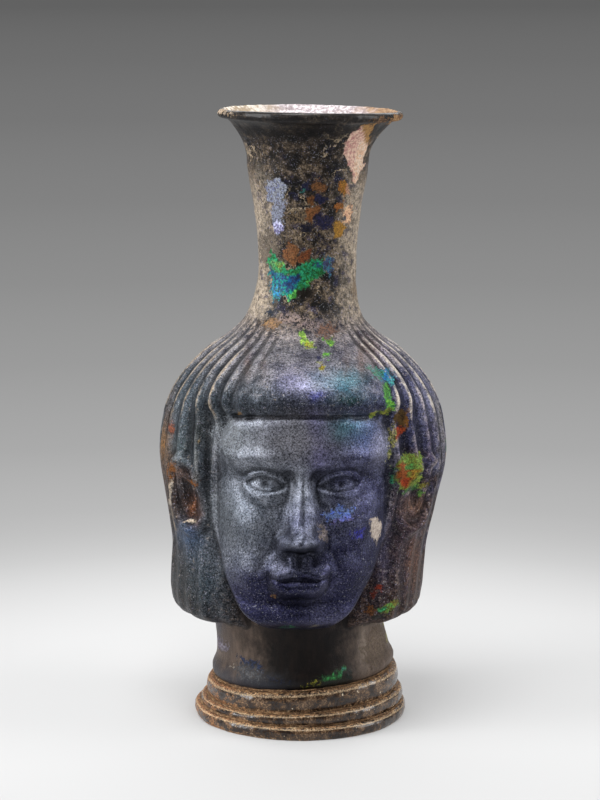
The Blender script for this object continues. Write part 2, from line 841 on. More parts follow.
    def unevenness(self, points: Array, height: Array, on_skin: Array, crusted: Array) -> Array:
        """How far the crust and the tooling marks stand off the plain form, in millimetres.

        Args:
            points: Places in millimetres.
            height: Height above the joint.
            on_skin: Which places lie outside.
            crusted: Share of crust at each place.

        Returns:
            The distance at each place.
        """
        lumps = np.zeros(len(points))
        where = np.flatnonzero(on_skin)
        lumps[where] = rough_field(points[where], 5.0, 4, 3.0)
        on_neck = ramp(self.form.neck_root - 20, self.form.neck_root - 4, height)
        amount = np.where(height > 1.0, 0.05 + 0.13 * on_neck, 0.0)
        return lumps * mix(amount, 0.36, crusted)

    def skin(self, azimuth: Array, height: Array, moulded: Array) -> Array:
        """What the weathered skin depends on at each vertex.

        Args:
            azimuth: Angle from the face to +X.
            height: Height above the joint.
            moulded: Which vertices lie on the moulded outside.

        Returns:
            Columns for the share of hair, the share of face, the convexity and the strands' crests.
        """
        form = self.form
        face, hair, _ = form.zones(azimuth, height)
        on_head = ramp(form.lock_end - 2, form.lock_end, height)
        on_head = on_head * (1 - ramp(form.neck_root - 22, form.neck_root - 8, height))
        here = form.outside(azimuth, height)
        around = np.zeros_like(here)
        reach = 1.3
        turn = reach / np.maximum(here, 1.0)
        offsets = [(0, 1), (0, -1), (1, 0), (-1, 0), (0.7, 0.7), (-0.7, 0.7), (0.7, -0.7), (-0.7, -0.7)]
        for sideways, up in offsets:
            around += form.outside(azimuth + sideways * turn, height + up * reach)
        convex = np.clip(0.5 + (here - around / len(offsets)) * 2.2, 0, 1)
        crest = 0.4 + (form.strand(azimuth, height) - 0.4) * np.minimum(form.combing(azimuth, height), 1)
        columns = [hair * on_head, face * (1 - hair) * on_head, convex, mix(0.4, crest, hair * on_head)]
        skin = np.stack(columns, axis=1)
        skin[~moulded] = (0.0, 0.0, 0.5, 0.4)
        return skin


@dataclass(frozen=True)
class GlassTrail:
    """One trail of hot glass wound into a ring."""

    name: str
    node: str
    radius: float
    bore: float
    bottom: float
    height: float
    seed: float
    flat_foot: bool = False
    shoulder: float = 1.9
    columns: int = 300

    def outline(self) -> Section:
        """Radius and height round the trail's section, from the bore's lower edge and back to it.

        Returns:
            The section's corners.
        """
        section = [(self.bore, 0.0), (self.bore + 3, 0.0)]
        low = self.radius - self.shoulder * (0.7 if self.flat_foot else 1.0)
        section.append((low, 0.0))
        for turn in np.radians(np.linspace(-68, 72, 15)):
            out = self.radius - self.shoulder + self.shoulder * math.cos(turn) ** 0.8
            section.append((out, self.height * (0.48 + 0.52 * math.sin(turn) / math.sin(math.radians(72)))))
        tops = (self.radius - self.shoulder * 1.6, self.bore + 3, self.bore)
        return section + [(out, self.height) for out in tops]

    def build(self, settling: Settling, material: Material) -> Piece:
        """Turn the trail, make it uneven as trailed glass is, and let it settle.

        Args:
            settling: How the hot glass sagged.
            material: The piece's material.

        Returns:
            The finished piece.
        """
        section = self.outline()
        section.append(section[0])
        mesh, radius, height, azimuth = rolled_section(self.name, section, self.columns)
        points = round_points(radius, azimuth, self.bottom + height)
        lumps = rough_field(points, 9.0, 4, 11.0 + self.seed)
        fine = rough_field(points, 1.6, 3, 31.0 + self.seed)
        outer = ramp(self.radius - 2.4, self.radius - 0.6, radius)
        waver = 0.25 * np.sin(3 * azimuth + self.seed) + 0.15 * np.sin(7 * azimuth + 2 * self.seed)
        push_out(points, azimuth, outer * (0.28 * lumps + 0.07 * fine + waver))
        write_points(mesh, settling.settle(points))
        share = height / self.height
        groove = 1 - ramp(0.0, 0.3, share) * (1 - ramp(0.7, 1.0, share))
        left = np.clip(-np.sin(azimuth), 0, 1)
        ridge = bump(share - 0.86, 0.07) * outer
        add_attribute(mesh, "skin", np.stack([groove, left, ridge], axis=1))
        close_and_face_out(mesh)
        piece = finished(mesh, material)
        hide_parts(self.node)
        return piece


@dataclass(frozen=True)
class SoilFillet:
    """Soil that stayed in the groove between two trails: a lumpy ring, thicker at the left."""

    name: str
    radius: float
    height: float
    thickness: float
    seed: float
    columns: int = 360
    around: int = 10

    def build(self, settling: Settling, material: Material) -> Piece:
        """Turn a thin ring and pile the soil unevenly along it.

        Args:
            settling: How the hot glass sagged.
            material: The piece's material.

        Returns:
            The finished piece.
        """
        mesh, row, azimuth = rolled_sheet(self.name, self.around + 1, self.columns)
        turn = row / self.around * 2 * math.pi
        piled = rough_field(round_points(self.radius, azimuth, turn * 0.6), 4.0, 5, self.seed)
        bias = 0.5 + 0.5 * np.clip(-np.sin(azimuth - 0.25), 0, 1)
        thick = self.thickness * np.clip(bias * (0.75 + 0.6 * piled), 0.12, 1.7)
        height = self.height - thick * 0.75 * np.sin(turn)
        points = round_points(self.radius + thick * np.cos(turn), azimuth, height)
        write_points(mesh, settling.settle(points))
        close_and_face_out(mesh)
        return finished(mesh, material)


@dataclass(frozen=True)
class PontilWad:
    """The wad of glass that broke off the pontil rod under the floor."""

    radius: float = 9.0
    thickness: float = 2.4
    columns: int = 96
    rings: int = 14

    def build(self, bubble: GlassBubble, settling: Settling, material: Material) -> Piece:
        """Turn the wad and break its face unevenly.

        Args:
            bubble: The bubble that it holds on to.
            settling: How the hot glass sagged.
            material: The piece's material.

        Returns:
            The finished piece.
        """
        top = bubble.foot.joint + bubble.floor_kick - bubble.floor_drop - bubble.foot.seat_gap
        face = [(self.radius * 0.86 * i / self.rings, self.thickness) for i in range(self.rings + 1)]
        edge = [(self.radius * 0.95, self.thickness * 0.7), (self.radius, self.thickness * 0.25)]
        section = face + edge + [(self.radius, 0.0), (self.radius * 0.5, 0.0), (0.0, 0.0)]
        mesh, radius, depth, azimuth = rolled_section("pontil_scar", section, self.columns)
        points = round_points(radius, azimuth, top - depth)
        broken = rough_field(points * np.array([1, 1, 0]), 5.0, 5, 7.0)
        points[:, 2] += np.where(depth >= self.thickness, 0.5 * np.clip(broken, -0.4, 1.2), 0.0)
        write_points(mesh, settling.settle(points))
        close_and_face_out(mesh)
        piece = finished(mesh, material)
        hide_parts("pontil_wad")
        return piece


def shade(hexadecimal: str) -> Colour:
    """A colour written as six hexadecimal digits, as the shader's linear values.

    Args:
        hexadecimal: The six digits.

    Returns:
        Red, green and blue, and 1.
    """

    def linear(value: float) -> float:
        """One channel, from display to linear light."""
        return value / 12.92 if value <= 0.04045 else ((value + 0.055) / 1.055) ** 2.4

    channels = [int(hexadecimal[i : i + 2], 16) / 255 for i in (0, 2, 4)]
    return (*(linear(c) for c in channels), 1.0)


class Finish:
    """A material's node graph, built a step at a time."""

    def __init__(self, name: str) -> None:
        """Start an empty material with a Principled shader.

        Args:
            name: The material's name.
        """
        self.material = bpy.data.materials.new(name)
        self.material.use_nodes = True
        self.tree = self.material.node_tree
        self.tree.nodes.clear()
        self.shader = self.node("BsdfPrincipled")
        output = self.node("OutputMaterial")
        self.tree.links.new(self.shader.outputs[0], output.inputs["Surface"])
        coordinates = self.node("TexCoord")
        self.place = self.vector("SCALE", coordinates.outputs["Object"], scale=1 / MM)

    def node(self, kind: str) -> bpy.types.Node:
        """A new node of a kind."""
        return self.tree.nodes.new("ShaderNode" + kind)

    def feed(self, socket: Socket, value: object) -> None:
        """Link a socket to another, or set it to a value or to a colour's digits."""
        if isinstance(value, Socket):
            self.tree.links.new(value, socket)
        else:
            socket.default_value = shade(value) if isinstance(value, str) else value

    def vector(self, operation: str, first: object, second: object = None, scale: float = 1.0) -> Socket:
        """A step of vector arithmetic.

        Args:
            operation: Its name in the node.
            first: What goes in first.
            second: What goes in second.
            scale: The factor of a SCALE step.

        Returns:
            The result.
        """
        node = self.node("VectorMath")
        node.operation = operation
        self.feed(node.inputs[0], first)
        if second is not None:
            self.feed(node.inputs[1], second)
        if operation == "SCALE":
            node.inputs["Scale"].default_value = scale
        return node.outputs["Value"] if operation in ("LENGTH", "DOT_PRODUCT") else node.outputs["Vector"]

    def math(self, operation: str, first: object, second: object = 0.0, clamped: bool = False) -> Socket:
        """A step of arithmetic.

        Args:
            operation: Its name in the node.
            first: What goes in first.
            second: What goes in second.
            clamped: Whether the result stays between 0 and 1.

        Returns:
            The result.
        """
        node = self.node("Math")
        node.operation = operation
        node.use_clamp = clamped
        self.feed(node.inputs[0], first)
        self.feed(node.inputs[1], second)
        return node.outputs[0]

    def plus(self, first: object, second: object, clamped: bool = False) -> Socket:
        """One value and another."""
        return self.math("ADD", first, second, clamped)

    def less(self, first: object, second: object, clamped: bool = False) -> Socket:
        """One value without another."""
        return self.math("SUBTRACT", first, second, clamped)

    def times(self, first: object, second: object, clamped: bool = False) -> Socket:
        """One value times another."""
        return self.math("MULTIPLY", first, second, clamped)

    def toward(self, value: object, target: object, share: object) -> Socket:
        """Move a value towards a target by a share."""
        return self.plus(value, self.times(self.less(target, value), share))

    def step(self, value: object, low: object, high: object) -> Socket:
        """A smooth step from 0 at low to 1 at high, which may be the lower of the two.

        Args:
            value: What is stepped.
            low: Where the result is 0.
            high: Where it is 1.

        Returns:
            The result.
        """
        node = self.node("MapRange")
        node.interpolation_type = "SMOOTHSTEP"
        self.feed(node.inputs["Value"], value)
        self.feed(node.inputs["From Min"], low)
        self.feed(node.inputs["From Max"], high)
        return node.outputs["Result"]

    def spread(self, value: object, low: float, high: float) -> Socket:
        """A value between 0 and 1 spread between low and high.

        Args:
            value: What is spread.
            low: What 0 becomes.
            high: What 1 becomes.

        Returns:
            The result.
        """
        node = self.node("MapRange")
        self.feed(node.inputs["Value"], value)
        node.inputs["To Min"].default_value = low
        node.inputs["To Max"].default_value = high
        return node.outputs["Result"]

    def about(self, value: object, noise_field: object, spread: float) -> Socket:
        """A value made uneven by a noise."""
        return self.plus(value, self.spread(noise_field, -spread, spread))

    def edge(self, value: object, noise_field: object, spread: float, low: float, high: float) -> Socket:
        """A smooth step from 0 at low to 1 at high, whose place a noise makes uneven."""
        return self.step(self.about(value, noise_field, spread), low, high)

    def patchy(self, noise_field: object, low: float, high: float, first: str, second: str) -> Socket:
        """Patches of a second colour over a first, where a noise passes from low to high."""
        return self.blend(self.step(noise_field, low, high), first, second)

    def toned(self, colour: object, tone: object) -> Socket:
        """A colour made darker or lighter by a tone."""
        return self.blend(1.0, colour, tone, "MULTIPLY")

    def blend(self, share: object, first: object, second: object, way: str = "MIX") -> Socket:
        """Mix two colours.

        Args:
            share: Share of the second colour.
            first: The first colour.
            second: The second colour.
            way: How they are mixed.

        Returns:
            The result.
        """
        node = self.node("Mix")
        node.data_type = "RGBA"
        node.blend_type = way
        self.feed(node.inputs["Factor"], share)
        self.feed(node.inputs[6], first)
        self.feed(node.inputs[7], second)
        return node.outputs[2]

    def grain(self, size: float, detail: float, rough: float, stretch: Place | None = None) -> Socket:
        """Noise whose largest lumps have the given size in millimetres.

        Args:
            size: Size of the largest lumps.
            detail: How many finer sizes it adds.
            rough: How strong these are.
            stretch: Scale along each axis.

        Returns:
            The result.
        """
        vector = self.vector("MULTIPLY", self.place, stretch) if stretch else self.place
        node = self.node("TexNoise")
        self.feed(node.inputs["Vector"], vector)
        node.inputs["Scale"].default_value = 1 / size
        node.inputs["Detail"].default_value = detail
        node.inputs["Roughness"].default_value = rough
        return node.outputs["Fac"]

    def split(self) -> tuple[Socket, Socket, Socket]:
        """The place in millimetres as x, y and z.

        Returns:
            The three sockets.
        """
        node = self.node("SeparateXYZ")
        self.feed(node.inputs[0], self.place)
        return node.outputs[0], node.outputs[1], node.outputs[2]

    def stored(self, name: str) -> tuple[Socket, Socket]:
        """The colour and the fourth value stored at each vertex under a name.

        Args:
            name: The attribute's name.

        Returns:
            Their two sockets.
        """
        node = self.node("Attribute")
        node.attribute_name = name
        return node.outputs["Color"], node.outputs["Alpha"]

    def attribute(self, name: str) -> tuple[Socket, ...]:
        """The four values stored at each vertex under a name.

        Args:
            name: The attribute's name.

        Returns:
            Their four sockets.
        """
        colour, fourth = self.stored(name)
        parts = self.node("SeparateColor")
        self.feed(parts.inputs[0], colour)
        return (*parts.outputs, fourth)

    def relief(self, *layers: tuple[object, float]) -> None:
        """Raise the surface by several layers.

        Args:
            layers: Pairs of a height from 0 to 1 and what 1 is in millimetres.
        """
        normal = None
        for height, depth in layers:
            node = self.node("Bump")
            node.inputs["Distance"].default_value = depth * MM
            self.feed(node.inputs["Height"], height)
            if normal is not None:
                self.feed(node.inputs["Normal"], normal)
            normal = node.outputs[0]
        self.feed(self.shader.inputs["Normal"], normal)

    def set(self, **values: object) -> None:
        """Set the shader's sockets, named with underscores for spaces."""
        for name, value in values.items():
            self.feed(self.shader.inputs[name.replace("_", " ")], value)


def turned_axes(right: Array, up: Array, degrees: float) -> tuple[Array, Array]:
    """Distances along and across a direction that is turned by some degrees."""
    turn = math.radians(degrees)
    return right * math.cos(turn) + up * math.sin(turn), up * math.cos(turn) - right * math.sin(turn)


class Film(Enum):
    """How a flake reflects: its roughness, its metallic share and how far it stands proud."""

    CRUST = (0.85, 0.0, 1.0)
    DULL = (0.5, 0.1, 0.3)
    SHEEN = (0.36, 0.35, 0.2)
    STAIN = (0.3, 0.1, 0.0)


@dataclass(frozen=True)
class Spot:
    """A rounded flake, at a place on the front of the flask."""

    x: float
    z: float
    wide: float
    tall: float
    colour: str
    second: str
    film: Film
    ragged: float
    broken: float
    turn: float = 0.0

    def distance(self, x: Array, z: Array) -> Array:
        """Rough distance in millimetres from the flake's edge, negative inside.

        Args:
            x: Places to the right.
            z: Their heights.

        Returns:
            The distance at each place.
        """
        along, across = turned_axes(x - self.x, z - self.z, self.turn)
        around = np.hypot(along / self.wide, across / self.tall)
        return (around - 1) * min(self.wide, self.tall)


@dataclass(frozen=True)
class Shard:
    """An angular flake with straight broken edges, at a place on the front of the flask."""

    corners: tuple[tuple[float, float], ...]
    colour: str
    second: str
    film: Film
    ragged: float = 1.0
    broken: float = 0.34

    def distance(self, x: Array, z: Array) -> Array:
        """Distance in millimetres from the flake's edge, negative inside.

        Args:
            x: Places to the right.
            z: Their heights.

        Returns:
            The distance at each place.
        """
        nearest = np.full_like(x, np.inf)
        inside = np.zeros(len(x), dtype=bool)
        for (x0, z0), (x1, z1) in zip(self.corners, self.corners[1:] + self.corners[:1]):
            run, rise = x1 - x0, z1 - z0
            share = np.clip(((x - x0) * run + (z - z0) * rise) / (run * run + rise * rise), 0, 1)
            nearest = np.minimum(nearest, np.hypot(x - x0 - share * run, z - z0 - share * rise))
            level = rise if rise else 1e-9
            inside ^= ((z0 > z) != (z1 > z)) & (x < x0 + (z - z0) * run / level)
        return np.where(inside, -nearest, nearest)


@dataclass(frozen=True)
class Tint:
    """A soft film of colour with no edge, at a place on the front of the flask."""

    x: float
    z: float
    wide: float
    tall: float
    colour: str
    strength: float = 0.7
    turn: float = 0.0

    def share(self, x: Array, z: Array) -> Array:
        """How strongly the film covers each place."""
        along, across = turned_axes(x - self.x, z - self.z, self.turn)
        return self.strength * np.exp(-((along / self.wide) ** 2) - (across / self.tall) ** 2)


CRUST, DULL, SHEEN, STAIN = Film
NECK_FLAKES = (
    Shard(((-10.4, 178), (-6.9, 179.2), (-4.6, 177), (-5.2, 172), (-8, 170.6), (-11.2, 172.4)),
          "c4cad8", "757c9c", DULL, 1, 0.42),
    Shard(((-8.6, 171.4), (-5.4, 172.4), (-5, 166.2), (-7, 160.4), (-9.2, 165)),
          "b4bbd0", "7e8298", DULL, 1, 0.42),
    Spot(-7.4, 163.2, 1.6, 1.9, "a6a0de", "c9cbe8", DULL, 1.2, 0.36),
    Spot(-9.6, 156, 3.8, 5.6, "8a7f72", "5c524a", CRUST, 2.4, 0.5),
    Spot(0.5, 166.5, 5.2, 2.6, "7d6a52", "5a4a3c", CRUST, 2.6, 0.52, 6),
    Shard(((13.9, 190.2), (17.2, 194.6), (22.6, 196), (21.2, 190), (20.6, 184.6), (19, 179.4),
          (17.7, 176.6), (16.6, 178.6), (15.4, 183.6), (13.2, 187)), "c08d86", "d8b9a4", CRUST, 0.5, 0.22),
    Shard(((18.4, 190.4), (21.2, 192.4), (21, 186), (19, 179.6), (17.7, 177), (17, 180.4),
          (17.4, 186.6)), "e2cbb6", "cfa88c", CRUST, 0.5, 0.2),
    Shard(((19, 196), (23.6, 196.6), (21.6, 188.6), (20.4, 190.8)), "b98f5a", "8e6b46", CRUST, 0.9, 0.36),
    Spot(13.7, 175.6, 1.5, 2.5, "bf862b", "8f5a22", DULL, 1, 0.24),
    Spot(14.9, 175.2, 0.8, 1.6, "cfa58c", "b98a6c", DULL, 0.8, 0.24),
    Shard(((11.6, 171.6), (14, 172), (14.4, 169.4), (12.4, 168), (11.2, 169.6)),
          "b0702a", "8c5426", DULL, 1),
    Shard(((14.2, 169.4), (16.2, 170), (16.4, 166.2), (15.2, 163.4), (13.9, 165), (13.4, 167.4)),
          "d8a789", "e3bd98", CRUST, 0.8, 0.24),
    Spot(14, 166.4, 0.8, 1.1, "33343a", "55585e", STAIN, 1, 0.2),
    Shard(((10.6, 164), (13, 165.4), (14.9, 162.6), (13.6, 160.4), (11.4, 160.2)),
          "c7922f", "93692c", DULL, 1, 0.3),
    Spot(5.7, 176.7, 2.3, 1.7, "9c6638", "704a2c", DULL, 1.1, 0.28, -24),
    Shard(((1.9, 168.6), (4.4, 171.2), (7, 170.6), (5.6, 167.4), (3.4, 164.8), (2, 165.8)),
          "986236", "744a2c", DULL, 1.1, 0.3),
    Spot(3.4, 172.3, 1.3, 1.4, "8e5a2c", "5c3a22", DULL, 1.2, 0.34),
    Shard(((-5, 156.6), (-3.2, 159), (-0.9, 157.6), (-0.4, 154.2), (-1.6, 151.2), (-4.2, 151.4),
          (-5.6, 153.6)), "a06c42", "7c4f30", DULL, 1.2, 0.32),
    Shard(((-0.6, 154.6), (1.4, 155.4), (3.2, 156.8), (3.4, 154), (1.2, 152), (-0.6, 151.8)),
          "93522a", "6c3c22", DULL, 1, 0.32),
    Spot(6.4, 173, 1.5, 1.3, "1c2152", "131634", STAIN, 1.2, 0.3),
    Spot(1.6, 176.7, 1.6, 1.5, "20264e", "171a36", STAIN, 1.4, 0.34),
    Spot(7.6, 165.2, 3.4, 2.6, "2a2a56", "171834", STAIN, 2, 0.42, -20),
    Spot(2.2, 163.4, 2.4, 1.8, "1d1f38", "121322", STAIN, 1.8, 0.4),
    Spot(0.8, 175, 0.6, 0.6, "2f8a88", "3f7a70", SHEEN, 1, 0.3),
    Shard(((-10, 149.6), (-5.2, 148.6), (-1.4, 148.4), (2.6, 146.8), (1.2, 143.6), (-1.2, 141),
          (-3.4, 140.2), (-5.4, 141.8), (-8.6, 138.6), (-9.4, 142.2)),
          "2a6aa6", "1d8a78", SHEEN, 1.7, 0.38),
    Shard(((-10.6, 153.4), (-8.8, 155.4), (-6.6, 152.4), (-3.6, 150), (0.8, 151.4), (3.4, 153.8),
          (5.6, 153.6), (8.8, 151.6), (9.4, 149.8), (6.6, 147.6), (3.4, 146.2), (2, 143.8),
          (-0.4, 141.2), (-2.4, 140.8), (-0.8, 143.6), (-0.2, 146.4), (-3.6, 148.2), (-9, 149.2)),
          "1f8c46", "2c946a", SHEEN, 1.6, 0.34),
    Spot(-8, 150.8, 2.6, 1.5, "74b070", "3a9a5c", SHEEN, 1.8, 0.4, -12),
    Spot(-6.4, 151.2, 1.9, 0.8, "a09048", "6a9a4c", SHEEN, 1.4, 0.4, -8),
    Spot(-2.2, 146.4, 2.6, 1.6, "15407c", "1a5a8a", SHEEN, 1.4, 0.34, 34),
    Spot(5.4, 151.2, 1.8, 1.2, "2a6f9c", "1d9a68", SHEEN, 1.4, 0.38),
    Shard(((7.6, 153.8), (10.8, 153.2), (11, 150.4), (9.6, 148.2), (7.4, 149.6)),
          "46568c", "2f6a78", SHEEN, 1.6, 0.44),
    Spot(-7.4, 142, 1.6, 2.2, "4aa8a4", "2a78b0", SHEEN, 1.6, 0.42, 16),
    Spot(-1.4, 141.9, 2.4, 0.9, "46b44a", "6cc05a", SHEEN, 1.3, 0.34, 34),
    Spot(2.8, 146, 2, 0.6, "3fae4c", "5ab85a", SHEEN, 1.2, 0.36, 40),
    Spot(1.6, 142.4, 2.6, 1.6, "0e0f12", "17140f", STAIN, 1.6, 0.3),
    Spot(-8.8, 136, 2.6, 1.2, "151a22", "1f2a3a", STAIN, 1.6, 0.36, 20),
    Spot(-9, 132.4, 3.2, 1.8, "a5825c", "8a6f5a", CRUST, 2.2, 0.44, 12),
    Spot(-2.6, 134.4, 4.6, 1.7, "a38f86", "8f7f7c", CRUST, 2.4, 0.44),
    Spot(4.4, 132.6, 4, 1.5, "94837c", "7f7072", CRUST, 2.4, 0.48, -14),
    Spot(8.9, 131, 3.2, 2, "7d5f50", "6a5248", CRUST, 2.4, 0.46),
    Spot(18.2, 143, 1.2, 3.4, "9c8a74", "77685a", CRUST, 1.8, 0.4),
    Spot(31, 196.2, 3, 2.4, "a5825c", "6e4f36", CRUST, 1.8, 0.36),
    Spot(25.4, 197.4, 2.4, 1, "8a6a50", "5c4634", CRUST, 1.6, 0.44),
    Spot(-26, 199.4, 4.6, 0.8, "c9b6a2", "9c8468", CRUST, 1.4, 0.36),
)
HAIR_FLAKES = (
    Shard(((-0.6, 130.6), (1.2, 131), (2, 128.8), (4.2, 128), (4.4, 126.4), (2.4, 126.6), (0.4, 127.8)),
          "74a845", "92b44c", SHEEN, 1, 0.3),
    Spot(3.3, 127.2, 1.4, 0.7, "b8a234", "94b03a", SHEEN, 0.9, 0.3),
    Shard(((7, 129.2), (9.4, 128.8), (11.4, 127.4), (11, 126.4), (8.6, 126.6)),
          "5fb046", "83ba44", SHEEN, 1, 0.34),
    Spot(8.6, 124.8, 1.2, 1, "55aa4a", "74b044", SHEEN, 1.1, 0.34),
    Spot(6.6, 121.6, 1.3, 0.8, "b89a2e", "8f9a38", SHEEN, 1, 0.32),
    Spot(6.3, 123.8, 0.7, 0.8, "1f2454", "171a3a", STAIN, 1, 0.3),
    Spot(27.4, 117.6, 1.9, 1.5, "2295a6", "2b6cb0", SHEEN, 1.1, 0.28),
    Spot(24.3, 118.9, 2.8, 1, "4a9f74", "2f8086", SHEEN, 1.5, 0.42, -30),
    Spot(29, 116, 1.2, 1.2, "3a86b8", "4fa8a0", SHEEN, 1.2, 0.34),
    Spot(27.3, 113.6, 1.3, 2.4, "4aa04e", "5f9a46", SHEEN, 1.4, 0.4, 8),
    Shard(((27.4, 112), (28.6, 111.6), (30.2, 109), (29.8, 107.2), (27.6, 108.2), (26.8, 109.8)),
          "47b64a", "7cb844", SHEEN, 1, 0.3),
    Shard(((21.6, 107.4), (24.4, 107.8), (28.2, 107.6), (28, 105.4), (24.6, 106.2), (22, 105.4)),
          "8aa83e", "a8a442", SHEEN, 1, 0.34),
    Shard(((30, 106.4), (32.4, 106.2), (34.2, 103.8), (33.4, 100.6), (31, 101.8), (29.6, 104)),
          "5f4826", "3c2f20", CRUST, 1.1, 0.3),
    Spot(33.8, 103.2, 0.8, 2.6, "a8702c", "8a5a26", DULL, 1.2, 0.36),
    Spot(31.2, 99.6, 2, 1.5, "c2481a", "94381a", DULL, 1.1, 0.28, 10),
    Spot(31.4, 99.4, 0.6, 0.6, "7a1f12", "5c1a10", DULL, 0.6, 0.2),
    Spot(29.2, 98.2, 1.1, 3.2, "a3a85a", "c4b488", DULL, 1.6, 0.42),
    Spot(28.2, 92.8, 0.8, 2.2, "8fa052", "a8a06a", DULL, 1.4, 0.44),
    Shard(((30.6, 90.4), (34.2, 92.8), (37.8, 92.2), (39.2, 88.2), (39, 84.2), (37.2, 80.4), (34, 79.8),
          (31.4, 82.4), (30.2, 86)), "8a9238", "6c8a3e", DULL, 1.3, 0.3),
    Spot(32.6, 86.6, 1.9, 2.9, "a4511e", "84461e", DULL, 1.4, 0.3),
    Spot(33.4, 83.4, 1.9, 1.4, "bf4a1c", "9a3c1a", DULL, 1.2, 0.3),
    Spot(35.4, 88, 1.5, 1.4, "5fa04a", "49924c", DULL, 1.4, 0.34),
    Spot(36.8, 86, 1.5, 1.6, "b5762a", "a88a34", DULL, 1.4, 0.34),
    Spot(38, 83.6, 1, 2.6, "84b250", "a2a848", DULL, 1.3, 0.34),
    Spot(35.6, 80, 2.6, 0.9, "2f5a46", "4f7a3c", DULL, 1.4, 0.34),
    Spot(29.8, 84.4, 1, 3, "3f9460", "2f7a60", SHEEN, 1.6, 0.42),
    Spot(39.6, 80.6, 1.7, 1.3, "9a8a34", "7a7a34", DULL, 1.4, 0.36),
    Spot(38.6, 78.2, 1.2, 0.9, "4f8a44", "6a8a3c", DULL, 1.4, 0.36),
    Spot(24.6, 48.8, 1.5, 1.2, "a2381e", "742618", DULL, 1.4, 0.36),
    Spot(23.6, 46.6, 1, 0.8, "8a2f1c", "5c2016", DULL, 1.2, 0.36),
    Spot(22.4, 41.6, 1.4, 2, "8a5224", "5f381c", DULL, 1.6, 0.4),
    Shard(((26, 42.2), (29.6, 44.6), (32.4, 43.6), (30.4, 41.4), (27.8, 39.4), (26.2, 40)),
          "8a7c2c", "5c8a3e", DULL, 1.3, 0.34),
    Spot(26.2, 41.2, 1.2, 1, "2f8a5a", "3f9a5c", SHEEN, 1.2, 0.34),
    Spot(24.2, 38.8, 2, 1.3, "111114", "1a1c1a", STAIN, 1.4, 0.3),
    Spot(-41, 98.4, 1, 2.2, "b0664a", "6e4030", DULL, 0.9, 0.3),
    Spot(-31.8, 95.4, 0.5, 1.6, "b59c74", "8f7c5c", DULL, 0.6, 0.24),
    Spot(-42, 78, 0.6, 8, "f0e4d4", "c9b49c", SHEEN, 0.4, 0.1, -3),
    Spot(-40.6, 66, 0.4, 5, "b39c80", "8a7660", SHEEN, 0.5, 0.2, 12),
    Spot(-35.6, 69.2, 2.2, 0.6, "e8dccb", "c4b09a", SHEEN, 0.5, 0.16, 6),
    Spot(-34.2, 82.4, 1.8, 1.5, "9a6030", "6a4426", DULL, 1.4, 0.34),
    Spot(-41.2, 85.6, 1.2, 3.4, "a56c36", "7a4c28", DULL, 1.2, 0.3, -10),
    Spot(-19, 107.4, 0.5, 0.5, "b88a44", "8a6a34", DULL, 0.6, 0.2),
)
FACE_FLAKES = (
    Spot(-22.6, 99.2, 5.2, 5.2, "9ba1a8", "868c94", DULL, 5, 0.52),
    Shard(((22, 72.8), (24.8, 73.4), (26, 70), (25.4, 66.6), (24, 63.8), (23, 66.8), (22.4, 69.4)),
          "c9bbae", "a4978f", CRUST, 1, 0.3),
    Spot(12.2, 76, 4.4, 2.2, "7f98cf", "5a72c4", SHEEN, 2.2, 0.44, 6),
    Spot(13, 74.2, 3.2, 1, "8f86c4", "6e7acb", SHEEN, 1.6, 0.4, 10),
    Spot(7.2, 70.6, 0.9, 3, "8f827a", "6f666a", DULL, 1.4, 0.38, 12),
    Spot(18.6, 69.6, 2, 1.4, "2b2f92", "3c3ca0", SHEEN, 1.8, 0.42),
    Spot(-3.4, 39.6, 1.8, 0.5, "3a9a62", "4a8a64", SHEEN, 1.2, 0.36),
    Spot(-8.2, 50.2, 0.8, 0.8, "7a5426", "5a3a20", STAIN, 1, 0.3),
    Spot(4.6, 40, 1.6, 0.4, "8a8478", "5f5a54", DULL, 1.2, 0.36, 14),
)
THROAT_FLAKES = (
    Shard(((-20.6, 24.2), (-17, 24.4), (-12.8, 22.6), (-11.6, 20.4), (-16.2, 20.8)),
          "151c34", "22304e", STAIN, 1.6, 0.34),
    Shard(((-10.6, 20.2), (-6, 19), (-1.4, 18), (-4.8, 16.8), (-9.8, 18)),
          "14161f", "1d2234", STAIN, 1.6, 0.34),
    Spot(-16.4, 19.4, 5.2, 2.2, "343a46", "4a4a4c", STAIN, 2.4, 0.44, -12),
    Shard(((4.8, 16.4), (9, 20.8), (16.6, 22.4), (17.4, 17), (11, 15.4)),
          "131614", "1c221e", STAIN, 1.4, 0.28),
    Spot(10.4, 19.6, 3.6, 0.9, "2a7040", "3c8a48", SHEEN, 1.8, 0.44, 14),
    Spot(13.6, 21.2, 2, 0.8, "328048", "2f6a58", SHEEN, 1.6, 0.42, 10),
    Spot(4.4, 17.8, 2.4, 0.5, "6f7a24", "8a7f2c", SHEEN, 1.4, 0.4, 18),
    Shard(((27, 34.6), (29.4, 33.4), (30.4, 28.4), (29, 24.6), (27.6, 26.6), (27.2, 30.2)),
          "93a04c", "a69a54", DULL, 1.6, 0.4),
    Spot(24.6, 26, 4, 6, "7a6c5c", "584c42", CRUST, 3.4, 0.52),
    Spot(-26.4, 25.2, 2.6, 2, "9a93a0", "5f5a66", CRUST, 2.2, 0.46),
    Spot(-22, 20.4, 0.8, 0.7, "cfc6bb", "b5a694", CRUST, 0.8, 0.24),
)
